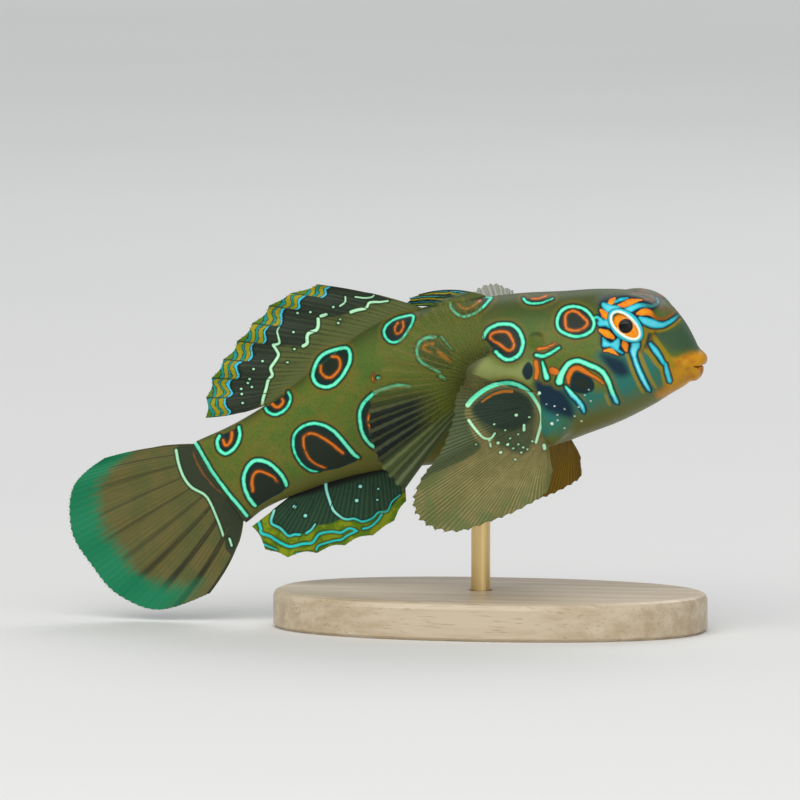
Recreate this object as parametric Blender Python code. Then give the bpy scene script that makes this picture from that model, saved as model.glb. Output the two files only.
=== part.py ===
"""Spotted mandarinfish (Synchiropus picturatus): a life-size still model on a plain display stand.

+X points to the fish's head, +Z is up and -Y is its right side. The fish swims with its head raised and
its tail drooping. The origin is the middle of the underside of the stand's base.
"""

import math

import bmesh
import bpy
import numpy as np
from mathutils import Vector

# Units, the gap that neighbouring pieces keep, and the sign of y on each side of the fish
MM = 0.001
GAP = 0.3
SIDES = {"right": -1, "left": 1}

# The body from snout to tail root, one row for each section, in mm: the point on the back (x, z), the point
# on the belly (x, z), half the width, and how much wider the section is low down than high up
BODY = (
    (22.3, 29.4, 21.6, 26.7, 1.6, 0.00),
    (21.6, 31.0, 20.7, 25.9, 2.6, 0.02),
    (20.3, 33.1, 19.2, 25.0, 3.7, 0.08),
    (18.3, 35.0, 17.3, 23.8, 4.8, 0.14),
    (15.0, 35.8, 14.0, 22.1, 5.9, 0.18),
    (11.5, 35.9, 10.7, 20.8, 6.6, 0.16),
    (7.6, 35.6, 7.2, 19.5, 7.1, 0.12),
    (3.0, 35.3, 2.8, 18.5, 7.1, 0.08),
    (-2.0, 34.6, -1.8, 17.7, 6.7, 0.06),
    (-7.0, 33.7, -6.4, 17.1, 6.0, 0.05),
    (-12.0, 31.9, -11.0, 16.6, 5.1, 0.05),
    (-17.0, 28.5, -15.4, 15.6, 4.2, 0.04),
    (-22.0, 24.5, -19.8, 14.1, 3.3, 0.02),
    (-27.0, 21.3, -23.9, 12.3, 2.3, 0.00),
    (-31.6, 19.1, -26.2, 10.6, 1.2, 0.00),
)
SQUARENESS = 2.25
SNOUT_DOME = 0.35
HEAD_END = 0.425
TORSO_END = 0.80

# The eyes look out and a little forwards. A brow stands over each, and the rim of its oval opening is longer
# along the slope of the forehead: half the opening's angle, seen from the eye's centre, along and across
EYE_AT = (15.5, 3.95, 32.3)
EYE_FACING = (0.2, 0.95, 0.2)
EYE_RADIUS = 1.95
EYE_SLOPE = (0.75, 0.0, -0.66)
OPENING_ANGLES = (64.0, 42.0)
RIM_FROM_EYE = 2.38
RIM_THICKNESS = 0.3
BROW_AT = (15.2, 3.1, 32.95)
BROW_RADII = (3.8, 2.6, 2.85)

# The lips, as bent rolls with thin ends, and the slit between them
UPPER_LIP_FRONT = (22.7, 0.0, 28.75)
LOWER_LIP_FRONT = (22.1, 0.0, 27.2)
MOUTH_CORNER = (20.9, 2.35, 28.0)
LIP_RADIUS = 0.62
MOUTH_SLIT = (1.7, 2.1, 0.22)
MOUTH_SLIT_AT = (22.7, 0.0, 27.97)

# Nostrils and gill openings, at this x and z of the skin: a small swelling with a hole in it
NOSTRIL_AT = (18.2, 31.5)
NOSTRIL_RADII = (0.45, 0.45, 0.5)
NOSTRIL_HOLE = (0.22, 0.22, 0.5)
GILL_AT = (6.3, 31.9)
GILL_RADII = (0.55, 0.5, 1.0)
GILL_HOLE = (0.3, 0.3, 0.55)
GILL_HOLE_SHIFT = (-0.55, 0.35, 0.1)
GILL_FACING = (1.0, 0.0, 0.5)

# What all fins share: the rim's thickness, the height of a ray above the membrane on each face and how much
# of it is lost at the tip, half a ray's width as a share of the way to the next, how deep the rim is notched
# between rays, and how far the root starts inside the body
FIN_RIM = 0.5
RAY_HEIGHT = 0.13
RAY_TAPER = 0.6
RAY_HALF_WIDTH = 0.32
MARGIN_NOTCH = 0.025
FIN_SINK = 0.7

# Each fin has a root line on the body and a line of ray tips, from its first ray to its last, and rows of
# points along a ray. bow says how far the middle of its first ray and of its last stand out from the
# straight way between root and tip. fleshy is the thickness at the root, and the share of the rays' length
# over which it thins down. The fins of the middle plane come first
DORSAL_FIRST = dict(
    root=((-1.2, 0, 34.9), (-2.8, 0, 34.5), (-4.6, 0, 34.2), (-6.0, 0, 33.9)),
    tips=((-7.6, 0, 35.0), (-8.6, 0, 34.6), (-8.9, 0, 34.1), (-8.4, 0, 33.8)),
    rays=4,
    rows=6,
    bow=((0, 0, 0.55), (0, 0, 0)),
    fleshy=(0.8, 0.3),
)
DORSAL_SECOND = dict(
    root=((-9.4, 0, 33.1), (-12.6, 0, 31.3), (-16.2, 0, 28.9), (-19.6, 0, 26.3), (-23.0, 0, 23.8)),
    tips=(
        (-18.6, 0, 35.9),
        (-22.9, 0, 34.2),
        (-25.9, 0, 31.3),
        (-28.4, 0, 28.2),
        (-30.3, 0, 25.0),
        (-30.6, 0, 21.6),
    ),
    rays=9,
    rows=9,
    bow=((0, 0, 0.9), (0, 0, -0.5)),
    fleshy=(1.3, 0.22),
)
ANAL = dict(
    root=((-9.2, 0, 16.8), (-13.2, 0, 16.2), (-17.4, 0, 15.0), (-21.6, 0, 13.3)),
    tips=(
        (-9.0, 0, 13.2),
        (-11.0, 0, 10.4),
        (-15.0, 0, 8.6),
        (-19.2, 0, 7.4),
        (-23.4, 0, 7.2),
        (-25.6, 0, 10.2),
    ),
    rays=8,
    rows=7,
    bow=((0, 0, 0), (0, 0, 0)),
    fleshy=(1.3, 0.22),
)
CAUDAL = dict(
    root=((-31.9, 0, 18.6), (-30.6, 0, 16.3), (-28.9, 0, 13.6), (-26.9, 0, 11.0)),
    tips=(
        (-41.6, 0, 17.1),
        (-44.6, 0, 13.6),
        (-44.9, 0, 9.2),
        (-43.0, 0, 5.6),
        (-40.0, 0, 2.5),
        (-35.6, 0, 1.1),
        (-30.2, 0, 3.0),
    ),
    rays=10,
    rows=10,
    bow=((0, 0.5, 0.4), (0.9, 0.5, 0.2)),
    fleshy=(2.2, 0.22),
)

# The paired fins, given for the left side
PECTORAL = dict(
    root=((5.7, 6.3, 30.0), (5.7, 6.9, 28.8), (5.4, 7.1, 27.4), (4.7, 6.9, 26.0)),
    tips=(
        (0.8, 8.0, 35.0),
        (-1.8, 9.2, 35.6),
        (-4.7, 10.6, 34.1),
        (-7.7, 11.6, 30.7),
        (-9.9, 12.0, 26.5),
        (-10.6, 11.9, 22.2),
        (-9.7, 11.0, 18.3),
        (-7.4, 9.5, 15.0),
    ),
    rays=15,
    rows=9,
    bow=((0, 0.5, 0), (0, 0.5, 0)),
    fleshy=(2.0, 0.3),
)
PELVIC = dict(
    root=((7.2, 4.2, 20.2), (7.2, 6.0, 22.6), (6.7, 7.2, 24.6)),
    tips=(
        (8.2, 7.5, 17.4),
        (7.9, 9.3, 15.3),
        (5.6, 11.0, 13.7),
        (2.6, 12.3, 12.4),
        (-0.9, 13.3, 11.3),
        (-4.0, 14.0, 12.0),
        (-5.4, 14.2, 14.1),
        (-4.6, 13.8, 16.9),
        (-2.6, 13.2, 19.8),
        (-1.1, 12.6, 22.5),
        (-0.3, 12.0, 24.6),
        (1.2, 11.2, 26.3),
    ),
    rays=12,
    rows=9,
    bow=((0, 0.9, 0), (0, 0.9, 0)),
    fleshy=(1.0, 0.22),
)

# The display stand
BASE_LENGTH = 46.0
BASE_WIDTH = 28.0
BASE_HEIGHT = 4.0
BASE_ROUNDNESS = 0.9
BASE_BEVEL = 0.7
BASE_SIDES = 64
ROD_RADIUS = 1.0
ROD_FOOT = 1.2
ROD_X = -1.0


def clear_scene():
    for obj in list(bpy.data.objects):
        bpy.data.objects.remove(obj, do_unlink=True)


def material(name, colour, roughness, metallic=0.0):
    made = bpy.data.materials.new(name)
    made.use_nodes = True
    shader = made.node_tree.nodes["Principled BSDF"]
    shader.inputs["Base Color"].default_value = (*colour, 1.0)
    shader.inputs["Roughness"].default_value = roughness
    shader.inputs["Metallic"].default_value = metallic
    return made


def spline(points, t):
    """The smooth curve through the points, for each t from 0 at the first to 1 at the last."""
    points = np.asarray(points, float)
    t = np.clip(np.atleast_1d(np.asarray(t, float)), 0.0, 1.0) * (len(points) - 1)
    start = np.minimum(t.astype(int), len(points) - 2)
    f = (t - start)[:, None]
    first = 2 * points[0] - points[1]
    last = 2 * points[-1] - points[-2]
    padded = np.vstack([first, points, last])
    a, b, c, d = (padded[start + k] for k in range(4))
    return b + 0.5 * f * (c - a + f * (2 * a - 5 * b + 4 * c - d + f * (3 * (b - c) + d - a)))


def make_object(name, vertices, faces, finish):
    """A mesh object from points in millimetres."""
    mesh = bpy.data.meshes.new(name)
    mesh.from_pydata([tuple(MM * c for c in v) for v in vertices], [], faces)
    mesh.update()
    obj = bpy.data.objects.new(name, mesh)
    bpy.context.scene.collection.objects.link(obj)
    if finish:
        mesh.materials.append(finish)
    return obj


def tidy_normals(obj):
    shape = bmesh.new()
    shape.from_mesh(obj.data)
    bmesh.ops.recalc_face_normals(shape, faces=shape.faces)
    shape.to_mesh(obj.data)
    shape.free()


def shade(obj, angle=45.0):
    obj.data.shade_smooth()
    obj.data.set_sharp_from_angle(angle=math.radians(angle))


def section(s, around, grow=0.0):
    """One ring of the body at s, 0 at the snout and 1 at the tail root, grown outwards by grow."""
    top_x, top_z, low_x, low_z, half_width, pear = spline(BODY, s)[0]
    top, low = np.array((top_x, 0.0, top_z)), np.array((low_x, 0.0, low_z))
    middle, half = (top + low) / 2, (top - low) / 2
    half = half * (1 + grow / np.linalg.norm(half))
    angle = np.linspace(0, 2 * math.pi, around, endpoint=False)
    c, w = np.cos(angle), np.sin(angle)
    power = 2 / SQUARENESS
    up = np.sign(c) * np.abs(c) ** power
    out = np.sign(w) * np.abs(w) ** power * (1 - pear * c) * (half_width + grow)
    return middle + up[:, None] * half + out[:, None] * np.array((0.0, 1.0, 0.0))


def body_way(s, step=0.02):
    """The direction from tail to snout at s, taken over a short step of the body."""
    fore = min(max(s - step / 2, 0.0), 1.0 - step)
    way = section(fore, 4).mean(0) - section(fore + step, 4).mean(0)
    return way / np.linalg.norm(way)


def loft(name, rings, finish):
    """A closed solid through rings of the same number of points, with a fan of triangles over each end."""
    around = len(rings[0])
    vertices = np.vstack([*rings, rings[0].mean(0), rings[-1].mean(0)])
    first, last = len(rings) * around, len(rings) * around + 1
    faces = []
    for row in range(len(rings) - 1):
        for k in range(around):
            n = (k + 1) % around
            a, b = row * around + k, row * around + n
            faces.append((a, b, b + around, a + around))
    end = (len(rings) - 1) * around
    for k in range(around):
        n = (k + 1) % around
        faces.append((first, n, k))
        faces.append((last, end + k, end + n))
    obj = make_object(name, vertices, faces, finish)
    tidy_normals(obj)
    return obj


def snout_rings(around, grow=0.0):
    """Shrinking rings that round the snout off ahead of the first section, the foremost first."""
    ring, ahead = section(0.0, around, grow), body_way(0.0)
    middle = ring.mean(0)
    return [
        middle + (ring - middle) * math.cos(lift) + ahead * (SNOUT_DOME * math.sin(lift) + grow)
        for lift in (math.radians(60), math.radians(28))
    ]


def body_length():
    """The length of the body's middle line, in mm."""
    line = np.array([section(s, 4).mean(0) for s in np.linspace(0, 1, 101)])
    return np.linalg.norm(np.diff(line, axis=0), axis=1).sum()


def body_solid(name, start, end, rows, around, finish):
    """A length of the body, from start to end as shares of it. A cut end stands back by half the gap."""
    # The sections aren't evenly spaced along the body, so the step back is a little over half the gap
    step_back = 0.65 * GAP / body_length()
    fore = start + step_back if start > 0 else 0.0
    rear = end - step_back if end < 1 else 1.0
    rings = [section(s, around) for s in np.linspace(fore, rear, rows)]
    if start == 0:
        rings = snout_rings(around) + rings
    return loft(name, rings, finish)


def body_cutter(rows=48, around=40):
    """The whole body a gap larger all round, which cuts the fins' roots to lie on the skin."""
    rings = snout_rings(around, GAP) + [section(s, around, GAP) for s in np.linspace(0, 1, rows)]
    rings.append(rings[-1] - body_way(1.0) * GAP)
    return loft("body_cutter", rings, None)


def apply_modifiers(obj):
    graph = bpy.context.evaluated_depsgraph_get()
    mesh = bpy.data.meshes.new_from_object(obj.evaluated_get(graph))
    obj.modifiers.clear()
    obj.data = mesh


def keep_largest(obj):
    """Leaves only the closed surface that encloses the most, so that no scrap of a cut stays behind."""
    shape = bmesh.new()
    shape.from_mesh(obj.data)
    left, islands = set(shape.faces), []
    while left:
        island, edge_of = set(), [left.pop()]
        while edge_of:
            face = edge_of.pop()
            island.add(face)
            near = {f for e in face.edges for f in e.link_faces if f in left}
            left -= near
            edge_of.extend(near)
        islands.append(island)
    islands.sort(key=lambda faces: sum(f.calc_area() for f in faces))
    scraps = [f for island in islands[:-1] for f in island]
    bmesh.ops.delete(shape, geom=scraps, context="FACES")
    shape.to_mesh(obj.data)
    shape.free()


def join_all(obj, pieces, operation="UNION"):
    """Joins closed pieces to obj, or cuts them from it, and removes them."""
    group = bpy.data.collections.new(obj.name + "_pieces")
    bpy.context.scene.collection.children.link(group)
    for piece in pieces:
        bpy.context.scene.collection.objects.unlink(piece)
        group.objects.link(piece)
    change = obj.modifiers.new(operation.title(), "BOOLEAN")
    change.operation = operation
    change.operand_type = "COLLECTION"
    change.collection = group
    change.solver = "EXACT"
    apply_modifiers(obj)
    for piece in list(group.objects):
        bpy.data.objects.remove(piece, do_unlink=True)
    bpy.data.collections.remove(group)
    keep_largest(obj)


def cut_by(obj, cutter):
    """Cuts the cutter's shape from obj and leaves the cutter for the next piece."""
    change = obj.modifiers.new("Cut", "BOOLEAN")
    change.operation = "DIFFERENCE"
    change.object = cutter
    change.solver = "EXACT"
    apply_modifiers(obj)
    keep_largest(obj)


def mirrored(point, side):
    """A point given for the left side, placed on side -1, the right, or 1, the left."""
    return np.array(point, float) * (1.0, side, 1.0)


def ball(name, centre, radii, finish=None, rings=10, segments=14, facing=(0, 0, 1)):
    """An ellipsoid with its poles along facing."""
    obj = make_object(name, [], [], finish)
    shape = bmesh.new()
    bmesh.ops.create_uvsphere(shape, u_segments=segments, v_segments=rings, radius=1.0)
    turn = Vector(facing).to_track_quat("Z", "Y").to_matrix()
    for v in shape.verts:
        v.co = (turn @ Vector([c * r for c, r in zip(v.co, radii)]) + Vector(centre)) * MM
    shape.to_mesh(obj.data)
    shape.free()
    return obj


def opening_way(side, angle, share=1.0):
    """The unit direction from an eye's centre to its opening's edge, or to a share of the way out to it."""
    facing = Vector(mirrored(EYE_FACING, side)).normalized()
    along = Vector(EYE_SLOPE)
    along = (along - along.dot(facing) * facing).normalized()
    across = facing.cross(along)
    long, short = (math.radians(share * a) for a in OPENING_ANGLES)
    spread = 1 / math.hypot(math.cos(angle) / long, math.sin(angle) / short)
    spoke = math.cos(angle) * along + math.sin(angle) * across
    return np.array(math.cos(spread) * facing + math.sin(spread) * spoke)


def eye_rim(side, steps=22, sides=6):
    """A ring of flesh round the opening, at one distance from the eye's centre."""
    eye = mirrored(EYE_AT, side)
    vertices, faces = [], []
    for k in range(steps):
        angle = 2 * math.pi * k / steps
        out = opening_way(side, angle)
        onward = Vector(opening_way(side, angle + 0.05) - opening_way(side, angle - 0.05)).normalized()
        across = np.array(onward.cross(Vector(out)))
        for j in range(sides):
            b = 2 * math.pi * j / sides
            thick = RIM_THICKNESS * (math.cos(b) * out + math.sin(b) * across)
            vertices.append(eye + RIM_FROM_EYE * out + thick)
            n, m = (k + 1) % steps, (j + 1) % sides
            faces.append((k * sides + j, n * sides + j, n * sides + m, k * sides + m))
    obj = make_object("rim", vertices, faces, None)
    tidy_normals(obj)
    return obj


def eye_opening(side):
    """The cutter that opens the flesh in front of the eye: a slim oval cone from the eye's centre."""
    eye, around = mirrored(EYE_AT, side), 22
    directions = [opening_way(side, 2 * math.pi * k / around, 0.94) for k in range(around)]
    return loft("opening", [np.array([eye + d * reach for d in directions]) for reach in (1.0, 4.5)], None)


def roll(name, path, radii, steps=13, sides=8):
    """A soft roll along a smooth path, with a radius for each of its points."""
    at = np.linspace(0, 1, steps)
    line, thick = spline(path, at), spline(np.array(radii)[:, None], at)[:, 0]
    rings = []
    for k in range(steps):
        way = Vector(line[min(k + 1, steps - 1)] - line[max(k - 1, 0)]).normalized()
        across = way.cross(Vector((0, 0, 1))).normalized()
        rise = across.cross(way)
        rings.append(
            np.array(
                [
                    line[k] + thick[k] * (math.cos(b) * np.array(across) + math.sin(b) * np.array(rise))
                    for b in np.linspace(0, 2 * math.pi, sides, endpoint=False)
                ]
            )
        )
    return loft(name, rings, None)


def lip(name, front):
    """One lip from corner to corner round the front of the mouth."""
    right, left = mirrored(MOUTH_CORNER, -1), mirrored(MOUTH_CORNER, 1)
    front = np.array(front)
    shoulder = 0.4 * right + 0.6 * front + np.array((0.3, -0.25, 0))
    path = [right, shoulder, front, mirrored(shoulder, -1), left]
    shoulder_radius = 0.93 * LIP_RADIUS
    return roll(name, path, (0.35, shoulder_radius, LIP_RADIUS, shoulder_radius, 0.35))


def skin_point(at, side):
    """The point of the skin at this x and z, on one side of the fish."""
    rows = np.vstack([section(s, 96) for s in np.linspace(0, 1, 160)])
    rows = rows[rows[:, 1] > 0]
    nearest = np.argmin(np.hypot(rows[:, 0] - at[0], rows[:, 2] - at[1]))
    return mirrored((at[0], rows[nearest, 1], at[1]), side)


def build_head(finish):
    head = body_solid("head", 0.0, HEAD_END, 21, 36, finish)
    pieces = [lip("upper_lip", UPPER_LIP_FRONT), lip("lower_lip", LOWER_LIP_FRONT)]
    holes = [ball("mouth_slit", MOUTH_SLIT_AT, MOUTH_SLIT)]
    for side in SIDES.values():
        eye, facing = mirrored(EYE_AT, side), mirrored(EYE_FACING, side)
        socket = EYE_RADIUS + GAP
        pieces.append(ball("brow", mirrored(BROW_AT, side), BROW_RADII, rings=10, segments=16))
        pieces.append(ball("mound", eye, [RIM_FROM_EYE] * 3, rings=10, segments=18, facing=facing))
        pieces.append(eye_rim(side))
        holes.append(ball("socket", eye, [socket] * 3, rings=10, segments=18, facing=facing))
        holes.append(eye_opening(side))
        nostril = skin_point(NOSTRIL_AT, side)
        pieces.append(ball("nostril", nostril, NOSTRIL_RADII, rings=6, segments=10, facing=facing))
        hole_at = nostril + NOSTRIL_RADII[0] * facing
        holes.append(ball("nostril_hole", hole_at, NOSTRIL_HOLE, rings=6, segments=8, facing=facing))
    join_all(head, pieces)
    join_all(head, holes, "DIFFERENCE")
    shade(head)


def build_eyes(finish):
    for word, side in SIDES.items():
        at, facing = mirrored(EYE_AT, side), mirrored(EYE_FACING, side)
        shade(ball("eye_" + word, at, [EYE_RADIUS] * 3, finish, 10, 16, facing))


def build_torso(finish):
    torso = body_solid("torso", HEAD_END, TORSO_END, 24, 36, finish)
    flaps, holes = [], []
    for side in SIDES.values():
        at = skin_point(GILL_AT, side)
        flaps.append(ball("gill", at, GILL_RADII, rings=6, segments=10, facing=GILL_FACING))
        hole_at = at + mirrored(GILL_HOLE_SHIFT, side)
        holes.append(ball("gill_hole", hole_at, GILL_HOLE, rings=6, segments=8, facing=GILL_FACING))
    join_all(torso, flaps)
    join_all(torso, holes, "DIFFERENCE")
    shade(torso)


def build_tail_base(finish):
    shade(body_solid("tail_base", TORSO_END, 1.0, 10, 32, finish))


def fin(name, finish, root, tips, rays, rows, bow, fleshy, side=1):
    """A fin as one closed sheet between its root line and the line of its ray tips, both smooth curves.

    Each ray is a ridge on both faces, and the rim is notched between rays. Both faces are split into
    triangles alike. The root runs on into the body, for the body's cutter to trim.
    """
    root, tips, bow = (mirrored(points, side) for points in (root, tips, bow))
    ways = (0.0, RAY_HALF_WIDTH, 1 - RAY_HALF_WIDTH)
    t = np.array([ray + way for ray in range(rays - 1) for way in ways] + [rays - 1]) / (rays - 1)
    ray_share = np.array([float(way == 0) for ray in range(rays - 1) for way in ways] + [1.0])
    columns = len(t)
    from_root, to_tip = spline(root, t), spline(tips, t)
    r = np.linspace(0, 1, rows)
    reach = to_tip - from_root
    from_root = from_root - FIN_SINK * reach / np.linalg.norm(reach, axis=1)[:, None]
    reach = (to_tip - from_root) * (1 - MARGIN_NOTCH * (1 - ray_share))[:, None]
    bowed = bow[0] + t[:, None] * (bow[1] - bow[0])
    grid = from_root[:, None] + reach[:, None] * r[:, None] + bowed[:, None] * (4 * r * (1 - r))[:, None]
    along, out = np.gradient(grid, axis=0), np.gradient(grid, axis=1)
    normal = np.cross(along, out)
    normal /= np.linalg.norm(normal, axis=2)[..., None]
    thickness = FIN_RIM + (fleshy[0] - FIN_RIM) * np.exp(-((r / fleshy[1]) ** 2))
    ridge = 2 * RAY_HEIGHT * ray_share[:, None] * (1 - RAY_TAPER * r)[None]
    half = (thickness[None] + ridge) / 2
    front, back = grid + normal * half[..., None], grid - normal * half[..., None]
    vertices = np.vstack([front.reshape(-1, 3), back.reshape(-1, 3)])
    other = columns * rows
    faces = []
    for i in range(columns - 1):
        for j in range(rows - 1):
            a, b = i * rows + j, (i + 1) * rows + j
            for p, q, s in ((a, b, b + 1), (a, b + 1, a + 1)):
                faces.append((p, q, s))
                faces.append((other + p, other + s, other + q))
    rim = [(i * rows, (i + 1) * rows) for i in range(columns - 1)]
    rim += [((columns - 1) * rows + j, (columns - 1) * rows + j + 1) for j in range(rows - 1)]
    rim += [((i + 1) * rows + rows - 1, i * rows + rows - 1) for i in range(columns - 1)]
    rim += [(j + 1, j) for j in range(rows - 1)]
    for p, q in rim:
        faces.append((q, p, other + p))
        faces.append((q, other + p, other + q))
    obj = make_object(name, vertices, faces, finish)
    tidy_normals(obj)
    return obj


def build_fins(cutter, finish, tail_finish):
    made = [
        fin("dorsal_fin_first", finish, **DORSAL_FIRST),
        fin("dorsal_fin_second", finish, **DORSAL_SECOND),
        fin("anal_fin", finish, **ANAL),
        fin("caudal_fin", tail_finish, **CAUDAL),
    ]
    for word, side in SIDES.items():
        made.append(fin("pectoral_fin_" + word, tail_finish, side=side, **PECTORAL))
        made.append(fin("pelvic_fin_" + word, tail_finish, side=side, **PELVIC))
    for each in made:
        cut_by(each, cutter)
        shade(each, 60)


def upright(name, radius, low, high, finish, sides=24):
    """A round bar that stands where the stand's rod does."""
    turns = np.linspace(0, 2 * math.pi, sides, endpoint=False)
    circle = np.array([(ROD_X + radius * math.cos(a), radius * math.sin(a), 0.0) for a in turns])
    return loft(name, [circle + (0, 0, z) for z in (low, high)], finish)


def belly_height(x):
    """The height of the belly's lowest point at x."""
    line = spline(BODY, np.linspace(0, 1, 400))
    return line[np.argmin(abs(line[:, 2] - x)), 3]


def build_base(finish):
    """A rounded oval slab with softened edges and a blind hole for the rod."""
    turns = np.linspace(0, 2 * math.pi, BASE_SIDES, endpoint=False)
    outline = np.stack([np.cos(turns), np.sin(turns)], axis=1)
    outline = np.sign(outline) * abs(outline) ** BASE_ROUNDNESS
    levels = (
        (0.0, 0.5 * BASE_BEVEL),
        (0.5 * BASE_BEVEL, 0.0),
        (BASE_HEIGHT - BASE_BEVEL, 0.0),
        (BASE_HEIGHT - 0.3 * BASE_BEVEL, 0.3 * BASE_BEVEL),
        (BASE_HEIGHT, BASE_BEVEL),
    )
    rings = []
    for z, inset in levels:
        flat = outline * (BASE_LENGTH / 2 - inset, BASE_WIDTH / 2 - inset)
        rings.append(np.column_stack([flat, np.full(BASE_SIDES, z)]))
    base = loft("stand_base", rings, finish)
    join_all(base, [upright("hole", ROD_RADIUS + GAP, ROD_FOOT - GAP, 2 * BASE_HEIGHT, None)], "DIFFERENCE")
    shade(base, 30)


def build_rod(cutter, finish):
    """The rod ends just under the belly, where the body's cutter trims it to the belly's curve."""
    rod = upright("stand_rod", ROD_RADIUS, ROD_FOOT, belly_height(ROD_X) + 2 * ROD_RADIUS, finish)
    cut_by(rod, cutter)
    shade(rod, 40)


def main():
    clear_scene()
    skin = material("skin", (0.15, 0.17, 0.05), 0.4)
    fin_green = material("fin_green", (0.06, 0.12, 0.05), 0.4)
    fin_brown = material("fin_brown", (0.14, 0.11, 0.05), 0.4)
    build_head(skin)
    build_torso(skin)
    build_tail_base(skin)
    build_eyes(material("eye", (0.8, 0.3, 0.03), 0.1))
    cutter = body_cutter()
    build_fins(cutter, fin_green, fin_brown)
    build_base(material("base_wood", (0.62, 0.55, 0.44), 0.35))
    build_rod(cutter, material("rod_brass", (0.75, 0.55, 0.25), 0.25, 1.0))
    bpy.data.objects.remove(cutter, do_unlink=True)


main()
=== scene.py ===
# %% [markdown]
# # A spotted mandarinfish as a museum model
#
# This lesson dresses the solids of a small reef fish, 7 cm long, as the living animal looks: one wet skin
# with ringed spots, thin fins on fine rays, orange eyes. It starts from the frame, which holds the solids in
# their places, and every piece made here rides on that frame.

# %% Load the frame
import math

import bmesh
import bpy
import numpy as np
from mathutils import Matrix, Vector


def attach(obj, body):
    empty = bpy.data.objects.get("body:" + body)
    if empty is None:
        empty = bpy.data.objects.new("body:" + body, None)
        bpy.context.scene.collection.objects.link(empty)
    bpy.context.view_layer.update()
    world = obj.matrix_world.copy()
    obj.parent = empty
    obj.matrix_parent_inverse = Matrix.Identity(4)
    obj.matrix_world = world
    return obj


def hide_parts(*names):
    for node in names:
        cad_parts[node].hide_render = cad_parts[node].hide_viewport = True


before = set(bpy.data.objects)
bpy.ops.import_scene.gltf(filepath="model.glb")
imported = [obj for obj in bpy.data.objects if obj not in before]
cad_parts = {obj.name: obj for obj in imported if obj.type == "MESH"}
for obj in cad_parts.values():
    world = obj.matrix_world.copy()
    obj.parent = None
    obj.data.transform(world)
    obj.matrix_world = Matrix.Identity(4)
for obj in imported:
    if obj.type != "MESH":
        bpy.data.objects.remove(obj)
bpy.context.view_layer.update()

MM = 0.001
print("solids:", sorted(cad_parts))

# %% [markdown]
# ## The view
#
# The photograph looks at the fish's right side, a little from the head and a little from above. One of its
# pixels shows 0.105 mm of the fish. Two directions are enough to say where a point of the fish falls in the
# picture, and the same two place the camera. The camera stands far off with a long lens, so that near and
# far fins keep their true sizes.

# %% From the fish to the picture
PIXEL = 0.105
FRAME_PIXELS = 800
ORIGIN_PIXEL = np.array((490.0, 628.0))
AZIMUTH, ELEVATION = math.radians(12), math.radians(5)

RIGHT = np.array((math.cos(AZIMUTH), math.sin(AZIMUTH), 0.0))
BACK = np.array(
    (
        math.sin(AZIMUTH) * math.cos(ELEVATION),
        -math.cos(AZIMUTH) * math.cos(ELEVATION),
        math.sin(ELEVATION),
    )
)
UP = np.cross(BACK, RIGHT)


def to_pixels(points):
    """Where points of the fish, in mm, fall in the photograph. Its left side counts as its right side."""
    near = np.array(points, float)
    near[..., 1] = -abs(near[..., 1])
    across, up = near @ RIGHT / PIXEL, near @ UP / PIXEL
    return np.stack([ORIGIN_PIXEL[0] + across, ORIGIN_PIXEL[1] - up], axis=-1)


print("the middle of the stand's foot falls at pixel", to_pixels((0, 0, 0)))

# %% Camera
CAMERA_RANGE = 1300.0
SENSOR = 36.0
CLIP_RANGE = (0.05, 20.0)


def add_object(name, data):
    """A new object in the scene."""
    made = bpy.data.objects.new(name, data)
    bpy.context.scene.collection.objects.link(made)
    return made


from_origin = (FRAME_PIXELS / 2 - ORIGIN_PIXEL) * PIXEL
aim = RIGHT * from_origin[0] - UP * from_origin[1]
lens = bpy.data.cameras.new("camera")
lens.sensor_width = SENSOR
lens.lens = SENSOR * CAMERA_RANGE / (FRAME_PIXELS * PIXEL)
lens.clip_start, lens.clip_end = CLIP_RANGE
camera = add_object("camera", lens)
camera.location = Vector((aim + BACK * CAMERA_RANGE) * MM)
camera.rotation_mode = "QUATERNION"
camera.rotation_quaternion = Vector(-BACK).to_track_quat("-Z", "Y")
bpy.context.scene.camera = camera
print(f"lens {lens.lens:.0f} mm, camera {camera.location.z:.3f} m above the floor")

# %% [markdown]
# ## The studio
#
# A broad soft key light stands above the camera, a cooler fill on the head's side, and a weak light behind
# draws the fins' edges. A wide light over the far floor keeps the background pale. Most of the light comes
# from all round, which shows the colours evenly.

# %% Lights
KEY = dict(at=(-0.16, -0.52, 0.62), size=0.8, power=4.6, colour=(1.0, 0.98, 0.94))
FILL = dict(at=(0.45, -0.6, 0.22), size=0.8, power=1.8, colour=(0.95, 0.98, 1.0))
RIM_LIGHT = dict(at=(0.1, 0.6, 0.5), size=0.4, power=0.8, colour=(1.0, 1.0, 1.0))
BACKDROP = dict(
    at=(-0.2, 2.0, 1.5), size=2.4, power=15.0, colour=(1.0, 1.0, 1.0), target=(-0.2, 2.2, 0.0)
)
TARGET = (-0.008, 0.0, 0.022)
ALL_ROUND_COLOUR, ALL_ROUND_STRENGTH = (0.86, 0.88, 0.9, 1), 0.44


def soft_light(name, at, size, power, colour, target=TARGET):
    """A square area light that looks at the fish, or at another target."""
    data = bpy.data.lights.new(name, "AREA")
    data.size, data.energy, data.color = size, power, colour
    light = add_object(name, data)
    light.location = at
    light.rotation_euler = (Vector(target) - Vector(at)).to_track_quat("-Z", "Y").to_euler()


for light_name, values in (("key", KEY), ("fill", FILL), ("rim", RIM_LIGHT), ("backdrop", BACKDROP)):
    soft_light(light_name, **values)

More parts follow.
